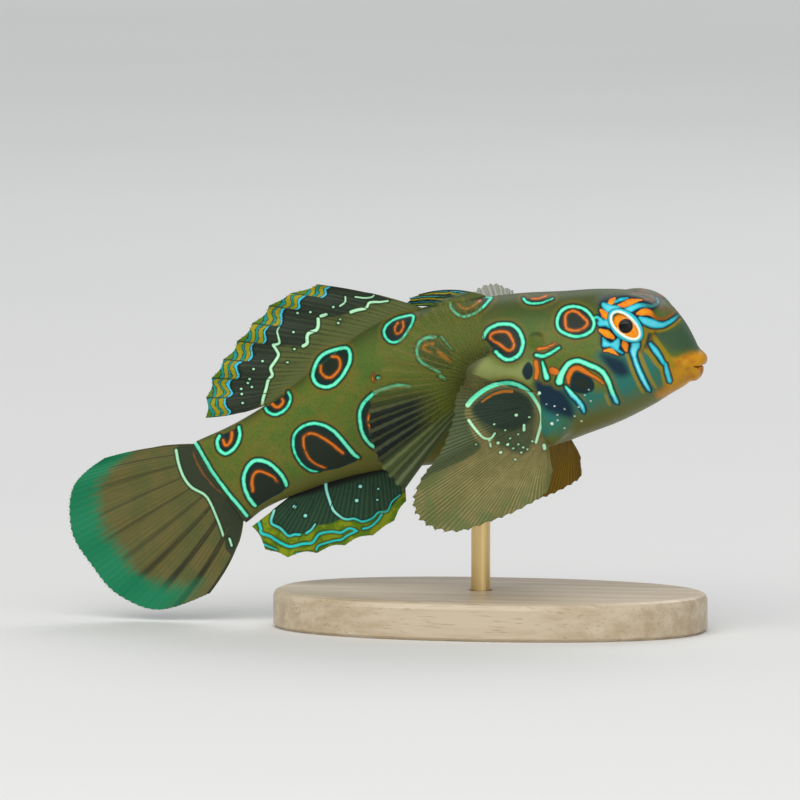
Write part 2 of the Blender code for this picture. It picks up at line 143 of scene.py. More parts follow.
world = bpy.data.worlds.new("studio")
world.use_nodes = True
all_round = world.node_tree.nodes["Background"].inputs
all_round["Color"].default_value = ALL_ROUND_COLOUR
all_round["Strength"].default_value = ALL_ROUND_STRENGTH
bpy.context.scene.world = world
bpy.context.scene.view_settings.view_transform = "Standard"
print("lights:", [light.name for light in bpy.data.lights])

# %% [markdown]
# ## Shader maths as Python
#
# A material's node tree is easier to read as a formula. One small class wraps a socket: Python's operators
# on it add Math nodes, and a few methods cover the rest, such as a soft step. Colours are laid over each
# other by a mask, and any other node comes from one function.

# %% The wire class
class Wire:
    """An output socket in a material. Arithmetic on it adds Math nodes."""

    def __init__(self, tree, socket):
        self.tree, self.socket = tree, socket

    def maths(self, operation, *values):
        return node(self.tree, "ShaderNodeMath", dict(operation=operation), dict(enumerate(values)))

    def __add__(self, other):
        return self.maths("ADD", self, other)

    def __sub__(self, other):
        return self.maths("SUBTRACT", self, other)

    def __rsub__(self, other):
        return self.maths("SUBTRACT", other, self)

    def __mul__(self, other):
        return self.maths("MULTIPLY", self, other)

    __radd__, __rmul__ = __add__, __mul__

    def zigzag(self, height):
        """Up from 0 to this height and down again, over and over as the value grows."""
        return self.maths("PINGPONG", self, height)

    def fraction(self):
        return self.maths("FRACT", self)

    def sine(self):
        return self.maths("SINE", self)

    def step(self, edge, soft, under, beyond):
        """One value under the edge and another beyond it, with a soft step between."""
        sockets = {0: self, 1: edge - soft, 2: edge + soft, 3: under, 4: beyond}
        return node(self.tree, "ShaderNodeMapRange", dict(interpolation_type="SMOOTHSTEP"), sockets)

    def below(self, edge, soft):
        """1 where the value is under the edge and 0 beyond it."""
        return self.step(edge, soft, 1.0, 0.0)

    def above(self, edge, soft):
        """0 where the value is under the edge and 1 beyond it."""
        return self.step(edge, soft, 0.0, 1.0)


# %% Any other node
def node(tree, kind, settings=(), sockets=(), output=0):
    """Adds a node: its settings first, then its sockets' values or links. Returns one of its outputs."""
    made = tree.nodes.new(kind)
    for key, value in dict(settings).items():
        setattr(made, key, value)
    for key, value in dict(sockets).items():
        if isinstance(value, Wire):
            tree.links.new(value.socket, made.inputs[key])
        else:
            made.inputs[key].default_value = value
    return Wire(tree, made.outputs[output])


# %% Colours, marks and patterns
def over(base, colour, mask):
    """A colour, or another wire's colour, laid over a base colour where the mask says."""
    tree = mask.tree
    base, colour = ((*c, 1.0) if isinstance(c, tuple) else c for c in (base, colour))
    sockets = {0: mask, 6: base, 7: colour}
    return node(tree, "ShaderNodeMix", dict(data_type="RGBA", clamp_factor=True), sockets, output=2)


def mark(tree, name):
    """A value that the mesh carries at each of its points."""
    return node(tree, "ShaderNodeAttribute", dict(attribute_name=name), output="Fac")


def marks_of(tree, *names):
    """Several of those values."""
    return (mark(tree, name) for name in names)


def in_mm(tree, stretch=(1, 1, 1)):
    """The place on the piece in the object's own frame, in mm, with each axis times its stretch."""
    place = node(tree, "ShaderNodeTexCoord", output="Object")
    scale = tuple(each / MM for each in stretch)
    return node(tree, "ShaderNodeVectorMath", dict(operation="MULTIPLY"), {0: place, 1: scale})


def noise(place, size, detail=2.0, rough=0.5):
    """Soft random values from 0 to 1 with blotches of about this size in mm."""
    sockets = {"Vector": place, "Scale": 1 / size, "Detail": detail, "Roughness": rough}
    return node(place.tree, "ShaderNodeTexNoise", {}, sockets)


def bump(height, distance, strength=1.0):
    """A Normal wire from a height wire; distance is the height of a full step in mm."""
    sockets = {"Height": height, "Distance": distance * MM, "Strength": strength}
    return node(height.tree, "ShaderNodeBump", {}, sockets)


# %% A material
def surface(name, wires, plain, **constants):
    """A material with one Principled shader. wires makes what varies, plain is its viewport colour."""
    made = bpy.data.materials.new(name)
    made.use_nodes = True
    made.diffuse_color = (*plain, 1.0)
    tree = made.node_tree
    shader = tree.nodes["Principled BSDF"]
    for socket, value in constants.items():
        shader.inputs[socket.replace("_", " ").title().replace("Ior", "IOR")].default_value = value
    for socket, wire in wires(tree).items() if wires else ():
        tree.links.new(wire.socket, shader.inputs[socket])
    print(f"{name}: {len(tree.nodes)} nodes")
    return made


# %% [markdown]
# ## The floor
#
# A plain pale floor runs far past the camera's view, so that no edge of it shows. Broad, faint blotches keep
# it from looking like flat paint.

# %% Floor
FLOOR_HALF = 6.0
FLOOR_CORNERS = ((-1, -1), (1, -1), (1, 1), (-1, 1))
FLOOR_GREY, FLOOR_WARM = (0.74, 0.745, 0.74), (0.78, 0.78, 0.77)
FLOOR_BLOTCH = 90.0


def floor_colour(tree):
    return {"Base Color": over(FLOOR_GREY, FLOOR_WARM, noise(in_mm(tree), FLOOR_BLOTCH))}


floor_mesh = bpy.data.meshes.new("floor")
corners = [(x * FLOOR_HALF, y * FLOOR_HALF, 0.0) for x, y in FLOOR_CORNERS]
floor_mesh.from_pydata(corners, [], [tuple(range(4))])
floor_mesh.materials.append(surface("floor_paint", floor_colour, FLOOR_GREY, roughness=0.7))
floor = add_object("floor", floor_mesh)

# %% [markdown]
# ## The shape of the body
#
# The skin follows the same few stations as the solids: where the back and the belly run, how wide the fish
# is, and how much wider it is low down. A smooth curve through the stations gives any number of rings. Each
# ring is a slightly squared oval.

# %% The body's stations
BODY = (
    # back x, z, belly x, z, half width, how much wider low down
    (22.3, 29.4, 21.6, 26.7, 1.6, 0.00),
    (21.6, 31.0, 20.7, 25.9, 2.6, 0.02),
    (20.3, 33.1, 19.2, 25.0, 3.7, 0.08),
    (18.3, 35.0, 17.3, 23.8, 4.8, 0.14),
    (15.0, 35.8, 14.0, 22.1, 5.9, 0.18),
    (11.5, 35.9, 10.7, 20.8, 6.6, 0.16),
    (7.6, 35.6, 7.2, 19.5, 7.1, 0.12),
    (3.0, 35.3, 2.8, 18.5, 7.1, 0.08),
    (-2.0, 34.6, -1.8, 17.7, 6.7, 0.06),
    (-7.0, 33.7, -6.4, 17.1, 6.0, 0.05),
    (-12.0, 31.9, -11.0, 16.6, 5.1, 0.05),
    (-17.0, 28.5, -15.4, 15.6, 4.2, 0.04),
    (-22.0, 24.5, -19.8, 14.1, 3.3, 0.02),
    (-27.0, 21.3, -23.9, 12.3, 2.3, 0.00),
    (-31.6, 19.1, -26.2, 10.6, 1.2, 0.00),
)


def spline(points, t):
    """The smooth curve through the points, for each t from 0 at the first to 1 at the last."""
    points = np.asarray(points, float)
    t = np.clip(np.atleast_1d(np.asarray(t, float)), 0.0, 1.0) * (len(points) - 1)
    start = np.minimum(t.astype(int), len(points) - 2)
    f = (t - start)[:, None]
    first = 2 * points[0] - points[1]
    last = 2 * points[-1] - points[-2]
    padded = np.vstack([first, points, last])
    a, b, c, d = (padded[start + k] for k in range(4))
    return b + 0.5 * f * (c - a + f * (2 * a - 5 * b + 4 * c - d + f * (3 * (b - c) + d - a)))


print("halfway along, back, belly, half width and swell:", spline(BODY, 0.5)[0].round(2))

# %% Rings through the stations
SQUARENESS = 2.25
HEAD_SHARE, HEAD_DENSITY = 0.425, 1.8
FINE_STATIONS = 1500


def body_rings(s, around):
    """Rings of the body at each s, 0 at the snout and 1 at the tail root: an array rings x around x 3."""
    top_x, top_z, low_x, low_z, half_width, pear = spline(BODY, s).T
    zero = np.zeros_like(top_x)
    top, low = np.stack([top_x, zero, top_z], 1), np.stack([low_x, zero, low_z], 1)
    middle, half = (top + low) / 2, (top - low) / 2
    angle = np.linspace(0, 2 * math.pi, around, endpoint=False)
    c, w = np.cos(angle), np.sin(angle)
    power = 2 / SQUARENESS
    up = np.sign(c) * abs(c) ** power
    out = np.sign(w) * abs(w) ** power * (1 - pear[:, None] * c) * half_width[:, None]
    rings = middle[:, None] + up[None, :, None] * half[:, None]
    rings[..., 1] += out
    return rings


def stations(count):
    """s values for rings that lie evenly along the body, and closer together on the head."""
    fine = np.linspace(0, 1, FINE_STATIONS)
    middle = body_rings(fine, 4).mean(1)
    step = np.linalg.norm(np.diff(middle, axis=0), axis=1)
    weight = np.where(fine[1:] < HEAD_SHARE, HEAD_DENSITY, 1.0)
    along = np.concatenate([[0], np.cumsum(step * weight)])
    return np.interp(np.linspace(0, along[-1], count), along, fine)


print("s of ten rings:", stations(10).round(2))

# %% [markdown]
# ## Forms of the head
#
# Brows, the mound round each eye, lips, nostrils, the gill's little chimney and the lobes that the paired
# fins grow from stand out of the skin, and the eye openings, the mouth and the holes sink into it. Each form
# is a distance formula: negative inside, positive outside. The smaller of two distances is both shapes as
# one, and a soft version of that rounds the joint, as flesh does. Points that walk in from outside until
# the distance is nothing find the joined surface, so the skin stays one clean grid.

# %% Distance formulas
OTHER_SIDE = np.array((1, -1, 1))


def unit(v):
    v = np.asarray(v, float)
    return v / np.maximum(np.linalg.norm(v, axis=-1, keepdims=True), 1e-9)


def smooth(x, low, high):
    """0 at low and 1 at high, with a soft start and end."""
    t = np.clip((np.asarray(x) - low) / (high - low), 0, 1)
    return t * t * (3 - 2 * t)


def ellipsoid(p, centre, radii):
    """Distance to an ellipsoid, true near its surface."""
    q = (p - np.asarray(centre)) / np.asarray(radii)
    k, slope = np.linalg.norm(q, axis=1), np.linalg.norm(q / np.asarray(radii), axis=1)
    return k * (k - 1) / np.maximum(slope, 1e-6)


def roll(p, path, radii, steps=24):
    """Distance to a soft roll along a smooth path, with a radius for each of its points."""
    at = np.linspace(0, 1, steps)
    line, thick = spline(path, at), spline(np.array(radii)[:, None], at)[:, 0]
    nearest = np.full(len(p), np.inf)
    for a, b, ra, rb in zip(line[:-1], line[1:], thick[:-1], thick[1:]):
        share = np.clip((p - a) @ (b - a) / ((b - a) @ (b - a)), 0, 1)
        away = np.linalg.norm(p - a - share[:, None] * (b - a), axis=1) - ra - share * (rb - ra)
        nearest = np.minimum(nearest, away)
    return nearest


def join(a, b, soft):
    """The union of two distance formulas with a rounded joint."""
    h = np.clip(0.5 + 0.5 * (b - a) / soft, 0, 1)
    return b + (a - b) * h - soft * h * (1 - h)


def cut(a, b, soft):
    """Shape a with shape b taken out of it."""
    return -join(-a, b, soft)


print("1 mm off a ball of 2 mm:", ellipsoid(np.array([[3.0, 0, 0]]), (0, 0, 0), (2, 2, 2)))

# %% The eye's opening
EYE_AT = np.array((15.5, 3.95, 32.3))
EYE_FACING = unit((0.05, 0.97, 0.12))
EYE_LONG = np.array((0.75, 0.0, -0.66))
EYE_LONG = unit(EYE_LONG - EYE_LONG @ EYE_FACING * EYE_FACING)
EYE_SHORT = np.cross(EYE_FACING, EYE_LONG)
OPENING_ROOT = EYE_AT - 0.9 * EYE_FACING
OPENING_ANGLES = (35.0, 17.6)


def opening_spread(turn):
    """How far off the eye's axis the opening's edge lies at a turn angle, seen from OPENING_ROOT."""
    long, short = np.radians(OPENING_ANGLES)
    return 1 / np.hypot(np.cos(turn) / long, np.sin(turn) / short)


def eye_polar(p):
    """Distance from OPENING_ROOT, how far outside the eye's opening each point lies, and its turn angle."""
    q = p - OPENING_ROOT
    far = np.linalg.norm(q, axis=1) + 1e-9
    turn = np.arctan2(q @ EYE_SHORT, q @ EYE_LONG)
    return far, far * (np.arccos(np.clip(q @ EYE_FACING / far, -1, 1)) - opening_spread(turn)), turn


print("the opening's half angles, long and short:", np.degrees(opening_spread(np.radians((0, 90)))))

# %% Lips
MOUTH_CORNER = np.array((21.4, 2.2, 28.3))
UPPER_LIP = dict(front=np.array((22.4, 0.0, 28.75)), radius=0.6, soft=0.6)
LOWER_LIP = dict(front=np.array((21.75, 0.0, 27.12)), radius=0.66, soft=0.45)
LIP_BULGE = np.array((0.3, 0.25, 0))
CORNER_RADIUS, SHOULDER_SHARE = 0.35, 0.93


def lip(p, front, radius):
    """Distance to a lip, a roll from the mouth's corner round its front and a little past the middle."""
    shoulder = 0.4 * MOUTH_CORNER + 0.6 * front + LIP_BULGE
    path = [MOUTH_CORNER, shoulder, front, shoulder * OTHER_SIDE]
    return roll(p, path, (CORNER_RADIUS, SHOULDER_SHARE * radius, radius, SHOULDER_SHARE * radius))


print("the mouth is", 2 * MOUTH_CORNER[1], "mm wide")

# %% Places and sizes of the forms
BROW = dict(centre=(15.2, 3.1, 32.95), radii=(3.8, 2.6, 2.85), soft=0.9)
EYE_MOUND = dict(radius=2.22, soft=0.9)
SOCKET_RADIUS = 1.1
OPENING_EDGE, OPENING_SOFT = 0.08, 0.1
JAW = dict(centre=(21.0, 0.0, 29.0), radii=(1.7, 2.0, 0.95), soft=0.6)
MOUTH_SLIT = dict(centre=(22.8, 0.0, 27.92), radii=(1.5, 2.3, 0.17), soft=0.12)
MOUTH_SLOPE = 0.25
NOSTRIL = dict(centre=(18.2, 3.95, 31.5), radii=(0.42, 0.42, 0.5), soft=0.3)
NOSTRIL_HOLE = dict(centre=(18.55, 4.3, 31.6), radii=(0.22, 0.3, 0.22), soft=0.1)
GILL = dict(centre=(6.2, 6.35, 30.9), radii=(0.6, 0.4, 0.65), soft=0.5)
GILL_HOLE = dict(centre=(5.85, 6.75, 30.9), radii=(0.15, 0.25, 0.35), soft=0.12)
PELVIC_LOBE = dict(centre=(7.4, 5.2, 22.4), radii=(1.7, 1.6, 2.6), soft=1.4)
PECTORAL_LOBE = dict(centre=(0.0, 0.0, 0.0), radii=(4.3, 1.1, 2.3), soft=1.0)
PECTORAL_LOBE_AT = np.array((2.6, 7.0, 27.4))
PECTORAL_LOBE_ALONG = np.array((-0.95, 0.31, 0.0))
PECTORAL_LOBE_AXES = np.array(
    (PECTORAL_LOBE_ALONG, np.cross((0, 0, 1), PECTORAL_LOBE_ALONG), (0, 0, 1))
)
print("from eye to eye:", 2 * EYE_AT[1], "mm")


# %% The head's joined surface
def with_form(flesh, p, form):
    return join(flesh, ellipsoid(p, form["centre"], form["radii"]), form["soft"])


def without_form(flesh, p, form):
    return cut(flesh, ellipsoid(p, form["centre"], form["radii"]), form["soft"])


def head_surface(points, height):
    """Distance to the head with all its forms. height is the distance to the plain body."""
    p = points.copy()
    p[:, 1] = abs(p[:, 1])
    from_eye = np.linalg.norm(p - EYE_AT, axis=1)
    flesh = with_form(height, p, BROW)
    flesh = join(flesh, from_eye - EYE_MOUND["radius"], EYE_MOUND["soft"])
    flesh = with_form(flesh, p, JAW)
    for each in (UPPER_LIP, LOWER_LIP):
        flesh = join(flesh, lip(p, each["front"], each["radius"]), each["soft"])
    flesh = with_form(flesh, p, NOSTRIL)
    flesh = with_form(flesh, p, GILL)
    flesh = with_form(flesh, (p - PECTORAL_LOBE_AT) @ PECTORAL_LOBE_AXES.T, PECTORAL_LOBE)
    flesh = with_form(flesh, p, PELVIC_LOBE)
    sloped = p + (p[:, :1] - MOUTH_SLIT["centre"][0]) * (0, 0, MOUTH_SLOPE)
    flesh = without_form(flesh, sloped, MOUTH_SLIT)
    flesh = without_form(flesh, p, NOSTRIL_HOLE)
    flesh = without_form(flesh, p, GILL_HOLE)
    flesh = cut(flesh, eye_polar(p)[1] - OPENING_EDGE, OPENING_SOFT)
    return np.minimum(flesh, from_eye - SOCKET_RADIUS)


# %% [markdown]
# ## One skin
#
# The skin is a tube of rings with a pole at the snout and another inside the tail fin. Its last rings run
# out over the tail fin's rays and thin away, so that body and fin are one. The head's rings are then walked
# onto the joined shape. A point near an eye or the mouth walks straight out from there, so that the grid
# spreads evenly over what stands out.

# %% The tail fin's sheet
FIN_SINK = 0.7
CAUDAL = dict(
    root=((-31.9, 0, 18.6), (-30.6, 0, 16.3), (-28.9, 0, 13.6), (-26.9, 0, 11.0)),
    tips=(
        (-41.6, 0, 17.1), (-44.95, 0, 14.1), (-45.25, 0, 9.5), (-43.0, 0, 5.6), (-40.0, 0, 2.5),
        (-35.6, 0, 1.1), (-30.2, 0, 3.0),
    ),
    bow=((0, 0.5, 0.4), (0.9, 0.5, 0.2)),
)


def fin_points(fin, t, r):
    """Points of a fin's middle sheet: t runs from its first ray to its last, r from root to rim."""
    root, tips, bow = (np.array(fin[key], float) for key in ("root", "tips", "bow"))
    start, end = spline(root, t), spline(tips, t)
    start = start - FIN_SINK * unit(end - start)
    bowed = bow[0] + np.atleast_1d(t)[:, None] * (bow[1] - bow[0])
    r = np.atleast_1d(r)[..., None]
    return start + (end - start) * r + bowed * 4 * r * (1 - r)


root, tip = fin_points(CAUDAL, 0.5, (0, 1))
print(f"the tail fin is {np.linalg.norm(tip - root):.1f} mm long at its middle")

# %% Rings from the snout to the tail fin
AROUND = 240
SNOUT_RINGS = 15
SNOUT_DOME = 0.2
BODY_RINGS = 345
TAIL_RINGS = 20
TAIL_FLESH, TAIL_START = 0.13, 0.03
TAIL_EDGES = (0.02, 0.98)
TAIL_TAPER, TAIL_THINNING = 0.7, 0.8
TAIL_SKIN = 0.02
BEHIND_SNOUT = 0.02


def snout_rings(first):
    """Rings that close the snout with a low dome, its pole, and the way that the snout points."""
    middle = first.mean(0)
    ahead = unit(middle - body_rings([BEHIND_SNOUT], AROUND)[0].mean(0))
    lifts = np.radians(np.linspace(90, 0, SNOUT_RINGS, endpoint=False))[1:]
    dome = [middle + (first - middle) * math.cos(a) + ahead * SNOUT_DOME * math.sin(a) for a in lifts]
    return dome, middle + ahead * SNOUT_DOME


def tail_rings(last):
    """Rings that run out over the tail fin and thin away on it."""
    up = np.cos(np.linspace(0, 2 * math.pi, AROUND, endpoint=False))
    t = np.clip((1 - np.sign(up) * abs(up) ** (2 / SQUARENESS)) / 2, *TAIL_EDGES)
    rings = []
    for q in np.linspace(0, 1, TAIL_RINGS + 1)[1:]:
        on_fin = fin_points(CAUDAL, t, np.full(AROUND, q * TAIL_FLESH + TAIL_START))
        body = (1 - q) ** TAIL_TAPER
        ring = last * body * (1, 0, 1) + on_fin * (1 - body)
        side = last[:, 1] * (1 - q) ** TAIL_THINNING + np.sign(last[:, 1]) * TAIL_SKIN
        ring[:, 1] = on_fin[:, 1] * q + side
        rings.append(ring)
    return rings


def skin_rings():
    """All rings of the plain skin, each one's s, and the two poles."""
    s = stations(BODY_RINGS)
    rings = body_rings(s, AROUND)
    snout, snout_pole = snout_rings(rings[0])
    tail = tail_rings(rings[-1])
    share = np.concatenate([np.zeros(len(snout)), s, np.ones(len(tail))])
    return np.stack([*snout, *rings, *tail]), share, snout_pole, tail[-1].mean(0)


# %% Walk the head's rings onto its forms
HEAD_FORMS_TO = 0.62
EYE_ROOT = EYE_AT - 2.2 * EYE_FACING
NEAR_EYE, OFF_MIDDLE = (5.6, 4.2), (0.8, 2.8)
MOUTH_ROOT = np.array((19.6, 0.0, 27.9))
NEAR_MOUTH = (19.8, 21.3)
REACH = (-2.6, 3.4)
WALK_STEPS, WALK_SHARE, WALK_STEP = 44, 0.9, (-0.3, 1.0)


def walking_ways(base, normals):
    """The way each point walks: along its normal, or straight out from the eye or the mouth when near one."""
    away = base - EYE_ROOT * np.where(base[:, 1:2] < 0, OTHER_SIDE, 1)
    near_eye = smooth(np.linalg.norm(away, axis=1, keepdims=True), *NEAR_EYE)
    near_eye = near_eye * smooth(abs(base[:, 1:2]), *OFF_MIDDLE)
    ways = normals + near_eye * (unit(away) - normals)
    near_mouth = smooth(base[:, :1], *NEAR_MOUTH)
    return unit(ways + near_mouth * (unit(base - MOUTH_ROOT) - ways))


def settle(base, way, lean=1.0):
    """How far each point moves to lie on the joined surface. lean is 1 for a way square to the skin."""
    height = np.full(len(base), REACH[1])
    for _ in range(WALK_STEPS):
        gap = head_surface(base + way * height[:, None], height * lean)
        height -= WALK_SHARE * np.clip(gap, *WALK_STEP)
    return np.clip(height, *REACH)


# %% Build the skin
def grid_faces(rings, around):
    """Four-sided faces between rings of points. Each ring closes round."""
    i, k = np.meshgrid(np.arange(rings - 1), np.arange(around), indexing="ij")
    a, b = i * around + k, i * around + (k + 1) % around
    return np.stack([a, b, b + around, a + around], axis=-1).reshape(-1, 4)


def tube_faces(rings, around):
    """The faces of a closed tube: its grid, and a fan at each end round the last two points."""
    faces = grid_faces(rings, around).tolist()
    end = (rings - 1) * around
    for k in range(around):
        n = (k + 1) % around
        faces += [(rings * around, n, k), (rings * around + 1, end + k, end + n)]
    return faces


def ring_normals(rows):
    along = np.gradient(rows, axis=0)
    around = np.roll(rows, -1, axis=1) - np.roll(rows, 1, axis=1)
    return unit(np.cross(along, around))


def build_skin():
    rows, share, snout_pole, tail_pole = skin_rings()
    normals = ring_normals(rows)
    outward = np.sign(np.sum(normals * (rows - rows.mean(1, keepdims=True)), axis=-1).mean())
    on_head = share < HEAD_FORMS_TO
    base, square = rows[on_head].reshape(-1, 3), normals[on_head].reshape(-1, 3) * outward
    way = walking_ways(base, square)
    height = settle(base, way, np.sum(way * square, axis=1))
    rows[on_head] = (base + way * height[:, None]).reshape(-1, AROUND, 3)
    ahead = unit(snout_pole - MOUTH_ROOT)
    snout_pole = snout_pole + ahead * settle(snout_pole[None], ahead[None])[0]
    points = np.vstack([rows.reshape(-1, 3), snout_pole, tail_pole])
    normals = np.vstack([(ring_normals(rows) * outward).reshape(-1, 3), [[1, 0, 0], [-1, 0, 0]]])
    return points, tube_faces(len(rows), AROUND), normals


skin_points, skin_faces, skin_normals = build_skin()
print(f"skin: {len(skin_points)} points, {skin_points.min(0).round(1)} to {skin_points.max(0).round(1)} mm")

# %% From points to a piece
def keep_marks(mesh, marks):
    """Named values at the mesh's points, for its material to read."""
    for key, values in marks.items():
        numbers = np.asarray(values, np.float32).ravel()
        mesh.attributes.new(key, "FLOAT", "POINT").data.foreach_set("value", numbers)


def make_piece(name, points, faces, finish, marks):
    """A smooth mesh object from points in mm, with named values at its points, riding on the model."""
    mesh = bpy.data.meshes.new(name)
    mesh.from_pydata((np.asarray(points) * MM).tolist(), [], [tuple(f) for f in faces])
    keep_marks(mesh, marks)
    mesh.materials.append(finish)
    mesh.shade_smooth()
    work = bmesh.new()
    work.from_mesh(mesh)
    bmesh.ops.recalc_face_normals(work, faces=work.faces)
    work.to_mesh(mesh)
    work.free()
    mesh.update()
    piece = add_object(name, mesh)
    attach(piece, "root")
    print(f"{name}: {len(points)} points, {len(faces)} faces")
    return piece


# %% [markdown]
# ## Painting with curves
#
# The fish's markings are lines and closed patches with sharp edges. An image could hold them, but here each
# one is a smooth curve with a width, drawn through the few places where the photograph shows it. The script
# measures how far every point of the skin lies from the nearest curve, in the photograph's pixels, and keeps
# that distance on the mesh. The material turns distances into crisp lines with dark edges and warm halos, as
# sharp in a close-up as from afar.

# %% Strokes
LINE_SPACING = 0.6
FINE_STEPS, FEWEST_POINTS = 40, 6


def stroke(*points, width=3.5, closed=False):
    """A painted line through pixel places. A tuple of widths says how it swells and thins along its way."""
    widths = np.atleast_1d(np.array(width, float))
    return dict(points=np.array(points, float), widths=widths, closed=closed)


def patch(*points):
    """A closed patch through pixel places, as a list of one."""
    return [stroke(*points, closed=True)]


def dots(*places, size=3.0):
    return [stroke(p, (p[0] + 0.5, p[1]), width=size) for p in places]


def traced(line):
    """Points close together along a stroke's smooth curve, and how far along it each one lies, 0 to 1."""
    points, count = line["points"], len(line["points"])
    fine = np.linspace(0, 1, FINE_STEPS * count)
    if line["closed"]:
        path = spline(np.vstack([points[-1:], points, points[:2]]), (1 + fine * count) / (count + 2))
    else:
        path = spline(points, fine)
    along = np.concatenate([[0], np.cumsum(np.linalg.norm(np.diff(path, axis=0), axis=1))])
    share = np.linspace(0, 1, max(int(along[-1] / LINE_SPACING), FEWEST_POINTS))
    return np.stack([np.interp(share * along[-1], along, path[:, k]) for k in (0, 1)], 1), share


print("a stroke of 10 pixels has", len(traced(stroke((0, 0), (5, 0), (10, 0)))[0]), "points")

# %% Distances to strokes and patches
FAR = 14.0
BATCH = 4000


def nearest_gap(pixels, line, half=0.0):
    """For each place, the distance to the nearest of a line's points less the half width there."""
    gap = np.full(len(pixels), FAR)
    box = np.all((pixels > line.min(0) - FAR) & (pixels < line.max(0) + FAR), axis=1)
    close = np.flatnonzero(box)
    for some in np.array_split(close, len(close) // BATCH + 1):
        if len(some):
            gap[some] = (np.linalg.norm(pixels[some, None] - line[None], axis=2) - half).min(1)
    return np.minimum(gap, FAR)


def stroke_distance(pixels, strokes):
    """The distance to the edge of the nearest stroke: negative on a stroke, positive beside it."""
    gap = np.full(len(pixels), FAR)
    for each in strokes:
        line, share = traced(each)
        half = np.interp(share, np.linspace(0, 1, len(each["widths"])), each["widths"]) / 2
        gap = np.minimum(gap, nearest_gap(pixels, line, half))
    return gap


def inside(pixels, line):
    """Whether each place lies inside the line: a ray from it crosses the line an odd number of times."""
    odd = np.zeros(len(pixels), bool)
    for a, b in zip(line, np.roll(line, -1, axis=0)):
        spans = (a[1] > pixels[:, 1]) != (b[1] > pixels[:, 1])
        rise = b[1] - a[1] if b[1] != a[1] else 1e-9
        odd ^= spans & (pixels[:, 0] < (b[0] - a[0]) * (pixels[:, 1] - a[1]) / rise + a[0])
    return odd


def patch_distance(pixels, patches):
    """The distance to the nearest closed patch: negative inside it, positive outside."""
    gap = np.full(len(pixels), FAR)
    for each in patches:
        line, _ = traced(each)
        if not each["closed"]:
            chord = np.linspace(line[-1], line[0], max(int(np.linalg.norm(line[0] - line[-1])), 2))
            line = np.vstack([line, chord[1:-1]])
        away = nearest_gap(pixels, line)
        gap = np.minimum(gap, np.where(inside(pixels, line[::2]), -away, away))
    return gap


# %% [markdown]
# ## The markings of the body
#
# A spotted mandarinfish wears ringed spots. Each has a bright blue-green line, a dark band inside it and a
# thin orange line round a dark middle. The rings on the back, the flank and the tail each have their own
# shape, so each is drawn. The patch inside a ring is the same curve, closed.

# %% Rings of the back and the flank
RING_NECK = stroke(
    (573, 307), (581, 309), (587, 313), (591, 319), (592.5, 325), (590, 331), (584, 335), (575, 337),
    (566, 335), (559, 331), (556, 325), (557, 317), (561, 311), (566, 308),
    closed=True,
)
RING_SHOULDER = stroke(
    (483, 338), (485, 333.5), (489, 329), (496, 325.5), (504, 324.5), (511, 325.5), (517, 330),
    (520, 335), (522, 342), (521, 349), (518, 355), (512, 359), (506, 360), (500, 357), (495, 352),
    width=4,
)
RING_BACK_1 = stroke(
    (450, 302), (451, 308), (455, 313), (461, 316.5), (467, 316.5), (474, 314), (481, 309), (486, 304),
    (491, 298),
    width=3,
)
RING_BACK_2 = stroke(
    (523, 299), (526, 302.5), (532, 304), (540, 303.5), (547, 301), (552, 299),
    width=(3, 2),
)
RING_VEILED = stroke(
    (435, 337.5), (427, 338), (420, 342), (417, 349), (417.5, 356), (421, 362), (427, 366), (434, 369.5),
    (440, 373),
    width=(4, 3),
)
RING_DROP_UPPER = stroke(
    (413, 316), (405, 316.5), (396, 319), (388, 324), (384, 331), (386, 338), (391, 342), (397, 342),
    (403, 338), (408, 331), (412, 323),
    width=3, closed=True,
)
RING_DROP_MIDDLE = stroke(
    (346, 348), (350, 353), (350, 361), (346, 370), (340, 379), (333, 385), (325, 387), (317, 384),
    (313, 377), (314, 369), (318, 360), (324, 354), (334, 350),
    width=4, closed=True,
)

# %% Rings of the tail and the large ring behind the pectoral fin
RING_FIN_FOOT = stroke(
    (288, 392), (290.5, 398), (288, 406), (282, 412), (275, 414.5), (268, 412), (265, 408),
    width=3.2,
)
RING_BELLY = stroke(
    (363, 461.5), (355, 455), (347, 446), (340, 437.5), (333, 430.5), (323, 425), (312, 423.5),
    (302, 427), (295, 434), (293.3, 443), (295, 453), (301, 463), (309, 469.5), (318, 472), (328, 473),
    (340, 473.5),
    width=(4.6, 2),
)
RING_TAIL_LOW = stroke(
    (259, 509.5), (252, 503), (247, 495), (244, 486), (243.5, 477), (247, 468), (253, 461.5),
    (261, 460.5), (269, 463.5), (276, 469), (282, 476), (286, 484), (287, 490), (285, 496),
    width=4.2,
)
RING_TAIL_TOP = stroke(
    (238.6, 427), (239.7, 434.7), (236.5, 444.5), (230.2, 451.6), (223.9, 453.7), (218.2, 448.8),
    (216.8, 441.7), (219, 436),
    width=3.8,
)
RING_SIDE = stroke(
    (410.5, 387), (402, 385.5), (393.6, 386.3), (378.2, 391.2), (367, 399.6), (360.7, 409.5),
    (360, 420.7), (362.8, 433.3), (369.8, 443.8), (382.4, 451.6),
    width=4,
)
TAIL_BAR = stroke((194, 442), (204, 459), (214, 475.4), (228, 493.6), (242, 510.5), (251, 522), width=4)

RINGS = [
    RING_NECK, RING_SHOULDER, RING_BACK_1, RING_BACK_2, RING_VEILED, RING_DROP_UPPER, RING_DROP_MIDDLE,
    RING_FIN_FOOT, RING_BELLY, RING_TAIL_LOW, RING_TAIL_TOP, RING_SIDE,
]
print("rings:", len(RINGS))

